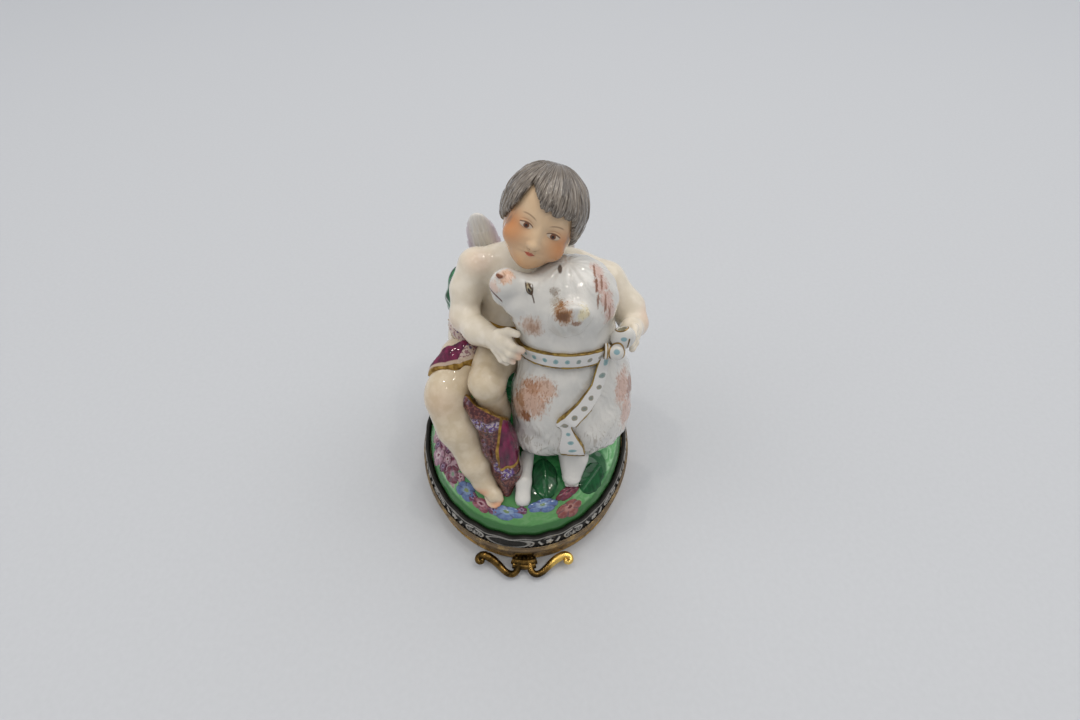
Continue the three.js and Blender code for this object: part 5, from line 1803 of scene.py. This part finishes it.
# Drapery
# One length of cloth goes round the boy's waist, over the right thigh and down in front of the left shin.
# Its outside is purple and its lining dark and printed below, and pale above. Both are edged with gilding.
def cloth(name):
    """Purple outside, printed lining and a gilt border. The fields 'edge' and 'lining' say where each is."""
    paint = Finish(name, Roughness=0.12, Coat_Weight=0.85, Coat_Roughness=0.03)
    edge = paint.field("edge")
    height = paint.split(paint.place)[2]
    streak = paint.noise(0.9, 4.0, vector=paint.stretched(paint.place, (1.0, 1.0, 0.35)))
    sprig = paint.noise(1.9, 3.0)
    upper = height.ramp(39.0, 41.0)
    printed = paint.mix(paint.noise(0.9), "2A0E12", "5E2A2C")
    printed = paint.mix(upper, printed, paint.mix(paint.noise(0.5), "BFA99A", "CDBEB2"))
    printed = paint.mix(sprig.ramp(0.5, 0.58) * 0.8, printed, paint.mix(upper, "7E4A40", "7A4250"))
    scattered = paint.noise(0.28, 2.0).ramp(0.54, 0.6) * (1.0 - upper) * 0.35
    top_band = paint.spot((-7.4, -14.4 + middle, 31.2), (4.2, 4.0, 1.9)).ramp(0.0, 0.3)
    tip_band = paint.spot((-4.0, -19.4 + middle, 20.6), (2.6, 3.0, 2.2)).ramp(0.0, 0.3)
    sprays = scattered.most(top_band).most(tip_band) * paint.noise(1.3, 2.0).ramp(0.42, 0.5) * 0.85
    printed = paint.mix(sprays, printed, paint.mix(sprig.ramp(0.44, 0.54), "C2B4BE", "54418A"))
    blooms = paint.cells(0.8).ramp(0.34, 0.22) * 0.8
    printed = paint.mix(blooms, printed, paint.mix(upper, "3A1420", "54447A"))
    purple = paint.mix(streak.ramp(0.3, 0.7), "420A28", "781C46")
    paint.colour = paint.mix(paint.field("lining").ramp(0.4, 0.6), purple, printed)
    wobble = paint.noise(0.9, 2.0)
    paint.lay(edge.ramp(0.85, 0.7) * height.ramp(35.0, 36.5) * 0.8, "C8B49C")
    border = (edge + (wobble - 0.5) * 0.25).ramp(0.44, 0.34)
    paint.lay(border, paint.mix(wobble.ramp(0.35, 0.65), "7C5C26", "B28E48"))
    paint.wear(metallic=border * 0.55, roughness=0.12 + border * 0.2, coat=0.85 - border * 0.7,
               bump=border + 0.4 * streak)
    return paint.material


def round_waist(points):
    """How far each point lies outside the band of cloth round the waist."""
    x, y, z = points.T
    return np.maximum((np.abs(z - 23 + 0.24 * x) - 2.3) * 0.97, y - 6)


def waist_sheet(points):
    d = torso_form(points)
    return np.maximum(np.maximum(d - 0.8, -1.8 - d), round_waist(points))


def waist_folds(points, outward):
    x, y, z = points.T
    return 0.22 * np.sin(2.2 * (z + 0.24 * x) + 0.5 * np.sin(x))


cloth_paint = cloth("painted_cloth")
waist_form = cut_back(waist_sheet, right_arm_form, left_arm_form, dog_form)
waist = cast(
    "porcelain_waist_drapery", waist_form, ["waist_drapery"], 0.4, cloth_paint,
    relief=waist_folds,
    fields={
        "edge": lambda points: -round_waist(points),
        "lining": lambda points: np.ones(len(points)),
    })
stand_for(waist, "figure_half", "purple_glaze", "waist_drapery")


def over_hem(points):
    """How far back each point lies from the cloth's lower edge across the thigh."""
    hem_x = [-18.5, -14.8, -11.9, -11.0, -9.6, -7.6]
    hem_y = [-7.0, -8.4, -8.2, -7.8, -7.1, -5.8]
    return points[:, 1] - np.interp(points[:, 0], hem_x, hem_y)


def over_thigh(points):
    """How far each point lies outside the stretch of thigh that the cloth covers."""
    x, y, z = points.T
    return np.maximum(np.maximum(-over_hem(points), y + 0.4 - 0.3 * x), np.maximum(x + 7.6, 18.5 - z))


def lap_sheet(points):
    """The cloth over the thigh, which thins towards its lower edge."""
    d = right_leg_form(points)
    thickness = 1.0 - 0.6 * smoothstep(2.0, 0.0, over_hem(points))
    return np.maximum(np.maximum(d - thickness, -1.5 - d), over_thigh(points))


lap_form = cut_back(lap_sheet, waist_form, torso_form, right_arm_form, left_leg_form)
lap = cast(
    "porcelain_lap_drapery", lap_form, ["lap_drapery"], 0.38, cloth_paint,
    relief=lambda points, outward: 0.2 * np.sin(1.5 * points[:, 0] + 0.9 * points[:, 1]),
    fields={
        "edge": lambda points: over_hem(points) * 0.8,
        "lining": lambda points: smoothstep(-0.12, 0.12, points[:, 0] + 12.0 - 0.64 * (points[:, 1] + 6.9)),
    })
stand_for(lap, "figure_half", "purple_glaze", "lap_drapery")
fall_mass = blended(
    1.0,
    chain(2.0, (-10.8, -11.0, 16.2, 2.2), (-6.8, -12.8, 14.6, 3), (-4.6, -15, 6.6, 3.4),
          (-3.4, -17.4, 0.6, 2.8), (-3.6, -20, -3, 1.6)),
    limb((-3.6, -15.2, 12.0), (-2.1, -18.2, 3.2), 1.1, 1.6),
)


def fall_top(points):
    """How far each point lies above the gilt edge that hangs across the shin."""
    x, y, z = points.T
    edge_z = 16.3 - 0.39 * (x + 4.1)
    edge_y = -15.0 - 0.35 * (x + 7.0)
    return 0.62 * (z - edge_z) + 0.7 * (y - edge_y) - 0.4 - 0.9 * smoothstep(-8.5, -11.5, x)


def fall_below_edge(points):
    return np.maximum(fall_mass(points), fall_top(points))


fall_form = carved(
    fall_below_edge,
    0.8,
    limb((-6.4, -16.8, 12), (-5.0, -19.4, 2.0), 0.5, 0.6),
    limb((-3.9, -17.6, 12.5), (-3.4, -20.3, 3.0), 0.35, 0.45),
)


def gold_line(points):
    """How far each point lies to the right of the fold that divides the lining from the outside."""
    x, y, z = points.T
    line_x = np.interp(z, [-2, 4, 9, 15.5], [-5.2, -4.8, -5.0, -4.0])
    return x - line_x


def tip_height(x):
    """The height of the fold under which the lining shows again."""
    return 4.2 + 0.5 * (x + 3.7)


def fall_edge(points):
    """How far each point lies from the gilding: along the top, down the fold and across the tip."""
    x, y, z = points.T
    top = -fall_top(points) * 1.2
    side = np.abs(gold_line(points)) * 1.5
    tip = np.abs(z - tip_height(x)) * 1.1 + 4 * (x < -5.2)
    return np.minimum(np.minimum(top, side + 4 * (z < tip_height(x))), np.minimum(tip, 3.0))


def fall_lining(points):
    """1 where the lining shows: left of the fold, and at the tip."""
    tip = smoothstep(0.1, -0.1, points[:, 2] - tip_height(points[:, 0]))
    return np.maximum(smoothstep(0.1, -0.1, gold_line(points)), tip)


fall = cast(
    "porcelain_hanging_drapery",
    cut_back(fall_form, right_leg_whole, left_leg_form, dog_form, left_foreleg_form, ground),
    ["hanging_drapery"], 0.4, cloth_paint,
    relief=lambda points, outward: 0.18 * np.sin(2.0 * points[:, 0] + 0.35 * points[:, 2]),
    fields={"edge": fall_edge, "lining": fall_lining})
stand_for(fall, "figure_half", "purple_glaze", "hanging_drapery")

# Tree stump
# The rough stump behind the boy that he sits on and that props both figures up. Its bark is modelled in
# upright ridges under a deep green glaze, lighter on the ridges.
stump_form = blended(
    3.0,
    egg((-3, 11, 1), (12.5, 9.5, 12)),
    limb((-7, 12, 8), (-9.2, 12, 23.6), 8.4, 7.4),
    egg((3, 11, 14), (9, 7, 10)),
)


def bark(points, outward=None):
    """Upright ridges that wander round the trunk."""
    x, y, z = points.T
    around = np.arctan2(x + 5, -(y - 11)) * 9.0
    wave = np.sin(0.45 * z + 0.5 * around) + 0.5 * np.sin(1.1 * z + 1.0)
    ridges = np.abs(np.sin(0.9 * around + 0.8 * wave))
    return 0.5 * (ridges ** 1.5 - 0.6) + 0.1 * np.sin(2.3 * z + 1.7 * around)


bark_glaze = Finish("dark_green_glaze", Roughness=0.12, Coat_Weight=0.9, Coat_Roughness=0.03)
bark_mottle = bark_glaze.noise(0.5, 4.0)
ridge = bark_glaze.field("ridge")
bark_glaze.colour = bark_glaze.mix(ridge, "123E26", "2F7A4C")
bark_glaze.lay(bark_mottle.ramp(0.45, 0.7) * 0.7, "57A06E")
bark_glaze.wear(bump=bark_mottle, depth=0.08)
seated = [torso_form, right_arm_form, left_arm_form, right_leg_form, left_leg_form, dog_form, dog_tail_form,
          right_wing_form, left_wing_form, ground]
stump = cast("porcelain_stump", cut_back(stump_form, *seated), ["stump"], 0.6, bark_glaze.material,
             relief=bark, fields={"ridge": lambda points: np.clip(bark(points) / 0.8 + 0.4, 0, 1)})
stand_for(stump, "figure_half", "dark_green_glaze", "stump")

# Flowers
# Pressed clay rosettes lie round the front of the mound, and smaller ones fill its left side. Each has broad
# painted petals round a pale ring and a dark eye. Each line: its node, the place on the mound, the radius,
# how far it is pressed short, its turn, and the colours of the petals, the ring and the eye.
rosettes = (
    ("flower_1", -19.6, -10.2, 2.3, 0.65, 10, "9A7484", "C4B2B4", "6E3048"),
    ("flower_2", -15.7, -15.6, 2.5, 0.6, 40, "662438", "A08890", "788C78"),
    ("flower_3", -12.4, -19.5, 2.9, 0.55, 80, "4E628E", "7C90AC", "7C8A5E"),
    ("flower_4", -9.0, -22.5, 2.6, 0.45, 15, "74303F", "B08C92", "5C1E30"),
    ("flower_5", -3.6, -24.4, 3.8, 0.33, 55, "566C98", "8296B0", "6E8258"),
    ("flower_6", 3.9, -23.2, 3.5, 0.36, 5, "4E6492", "869AB2", "6E8258"),
    ("flower_7", 9.4, -20.2, 3.1, 0.36, 30, "5E1E2E", "8A4654", "48101E"),
    ("flower_8", 9.6, -23.1, 3.2, 0.42, 65, "78403C", "A67A70", "602828"),
)
petal_count = 5
rosette_sides = 90
rosette_rows = 16


def rosette(x, y, radius, squash, turn):
    """The points, faces and paint fields of five broad petals about an eye, bedded on the mound and pressed
    short towards its foot."""
    ways = np.arange(rosette_sides) / rosette_sides * math.tau
    way, out = np.meshgrid(ways, np.linspace(0.02, 1.0, rosette_rows), indexing="ij")
    petal = petal_count * (way + math.radians(turn)) / 2
    crease = np.abs(np.cos(petal)) ** 0.6
    reach = radius * out * (0.84 + 0.16 * crease + 0.04 * np.sin(3 * way + x))
    downhill = np.array([x / dome_width ** 2, y / dome_depth ** 2])
    downhill = downhill / np.linalg.norm(downhill)
    u = reach * np.cos(way)
    v = squash * reach * np.sin(way)
    px = x - downhill[1] * u + downhill[0] * v
    py = y + downhill[0] * u + downhill[1] * v
    dish = 0.3 + 0.16 * np.sin(2.8 * out) * (0.5 + 0.5 * crease) - 0.14 * (1 - crease) * out
    height = dish * smoothstep(1.03, 0.8, out) + 0.16 * np.exp(-(out / 0.2) ** 2) - 0.06
    level = ground_height(px, py)
    top = np.stack([px, py, level + height], -1)
    rim = np.stack([px, py, level - 0.3], -1)[:, -1:]
    points = np.concatenate([top, rim], 1)
    count = rosette_rows + 1
    index = np.arange(rosette_sides * count).reshape(rosette_sides, count)
    beside = np.roll(index, -1, 0)
    faces = np.stack([index[:, :-1], index[:, 1:], beside[:, 1:], beside[:, :-1]], -1).reshape(-1, 4).tolist()
    faces += [index[:, 0].tolist(), index[::-1, -1].tolist()]
    fields = [np.concatenate([values, values[:, -1:]], 1).ravel() for values in (out, crease)]
    return points.reshape(-1, 3), faces, fields


def petal_glaze(name, petal_code, ring_code, eye_code):
    """Washed petals, darker in their creases, round a pale ring and a dark eye."""
    paint = Finish(name, Roughness=0.12, Coat_Weight=0.9, Coat_Roughness=0.03)
    out = paint.field("out")
    crease = paint.field("crease")
    wash = paint.noise(1.3, 3.0)
    ragged = out + (wash - 0.5) * 0.5
    paint.colour = paint.mix(wash.ramp(0.4, 0.65), petal_code, paint.mix(0.35, petal_code, ring_code))
    paint.lay(crease.ramp(0.65, 0.2) * ragged.ramp(0.3, 0.5) * 0.5, "40384A")
    paint.lay(ragged.ramp(0.5, 0.3) * 0.85, ring_code)
    paint.lay(ragged.ramp(0.24, 0.16), eye_code)
    paint.wear(bump=wash, depth=0.04)
    return paint.material


def flower_piece(name, places, petal_code, ring_code, eye_code):
    """One piece from rosettes at (x, y, radius, squash, turn) places, with its own glaze."""
    points = []
    faces = []
    fields = []
    for place in places:
        start = sum(len(part) for part in points)
        more_points, more_faces, more_fields = rosette(*place)
        points.append((more_points + crown_place) / 1000)
        faces += [[start + n for n in face] for face in more_faces]
        fields.append(more_fields)
    out, crease = (np.concatenate(values) for values in zip(*fields))
    paint = petal_glaze(name + "_glaze", petal_code, ring_code, eye_code)
    points = np.concatenate(points).tolist()
    piece = new_piece("porcelain_" + name, points, faces, paint, {"out": out, "crease": crease})
    piece.data.shade_smooth()
    return piece


for name, *place, petal_code, ring_code, eye_code in rosettes:
    piece = flower_piece(name, [place], petal_code, ring_code, eye_code)
    stand_for(piece, "figure_half", "flower_glaze", name)
pink_places = [(-20.4, -5.2, 1.6, 0.8, 20), (-18.2, -7.4, 1.5, 0.8, 50), (-20.8, -1.0, 1.4, 0.8, 0),
               (-17.2, -12.0, 1.4, 0.7, 33), (-18.8, -3.6, 1.5, 0.8, 70), (-13.8, -16.6, 1.3, 0.7, 12)]
mauve_places = [(-18.2, -13.2, 1.3, 0.7, 5), (-20.0, -7.6, 1.3, 0.8, 44), (-19.2, 1.6, 1.5, 0.8, 61),
                (-17.2, -9.4, 1.2, 0.8, 25), (-6.4, -23.8, 1.3, 0.6, 40), (-0.4, -24.2, 1.3, 0.6, 20),
                (-10.8, -21.0, 1.3, 0.7, 30)]
pink_blossoms = flower_piece("pink_blossoms", pink_places, "966C7A", "BEACAC", "66283C")
stand_for(pink_blossoms, "figure_half", "flower_glaze")
mauve_blossoms = flower_piece("mauve_blossoms", mauve_places, "602C44", "94809A", "40264A")
stand_for(mauve_blossoms, "figure_half", "flower_glaze")

# Leaves
# Two broad modelled leaves lie in the grass between the dog's feet and to their right, glazed the darkest
# green of the piece, with veins drawn in the clay.
leaf_glaze = Finish("leaf_green_glaze", Roughness=0.18, Coat_Weight=0.35, Coat_Roughness=0.05)
vein = leaf_glaze.field("vein")
leaf_tone = leaf_glaze.noise(0.5, 3.0)
leaf_glaze.colour = leaf_glaze.mix(leaf_tone.ramp(0.3, 0.7), "0A3A1C", "14562C")
leaf_glaze.lay(vein * 0.25, "3C8450")
leaf_glaze.wear(bump=leaf_tone, depth=0.05)


def leaf_piece(name, node, x, y, length, width, spin):
    """A leaf bedded on the mound, its midrib from foot to tip."""
    along, side = np.meshgrid(np.linspace(-1, 1, 60), np.linspace(-1, 1, 33), indexing="ij")
    half = width * np.sqrt(np.clip(1 - along ** 2, 0, 1)) ** 1.2 * (1 + 0.03 * np.sin(14 * along))
    u = side * half
    v = length * along
    c = math.cos(math.radians(spin))
    s = math.sin(math.radians(spin))
    px = x + c * u - s * v
    py = y + s * u + c * v
    midrib = np.exp(-(u / 0.22) ** 2)
    veins = np.exp(-(((np.abs(u) * 0.9 + v * 0.9) % 1.3 - 0.65) / 0.14) ** 2) * 0.5
    fall_off = smoothstep(1.0, 0.8, np.abs(side)) * smoothstep(1.0, 0.9, np.abs(along))
    level = ground_height(px, py)
    height = fall_off * (0.45 * (1 - 0.35 * side ** 2) - 0.12 * midrib - 0.04 * veins)
    top = np.stack([px, py, level + height], -1)
    under = np.stack([px, py, level - 0.25], -1)
    rows, columns = along.shape
    points = np.concatenate([top.reshape(-1, 3), under.reshape(-1, 3)]) + crown_place
    index = np.arange(rows * columns).reshape(rows, columns)
    faces = np.stack([index[:-1, :-1], index[:-1, 1:], index[1:, 1:], index[1:, :-1]], -1).reshape(-1, 4)
    rim = np.concatenate([index[:, 0], index[-1, 1:], index[-2::-1, -1], index[0, -2:0:-1]])
    wall = np.stack([rim, np.roll(rim, -1), np.roll(rim, -1) + rows * columns, rim + rows * columns], -1)
    faces = np.concatenate([faces, faces[:, ::-1] + rows * columns, wall])
    drawn = np.clip(midrib + veins, 0, 1)
    piece = new_piece(name, points.tolist(), faces.tolist(), leaf_glaze.material, {"vein": [drawn, drawn]})
    stand_for(facing_out(piece), "figure_half", "dark_green_glaze", node)


leaf_piece("porcelain_leaf_1", "leaf_1", 4.4, -17.9, 4.2, 3.0, 6)
leaf_piece("porcelain_leaf_2", "leaf_2", 14.6, -16.4, 4.0, 2.3, -35)
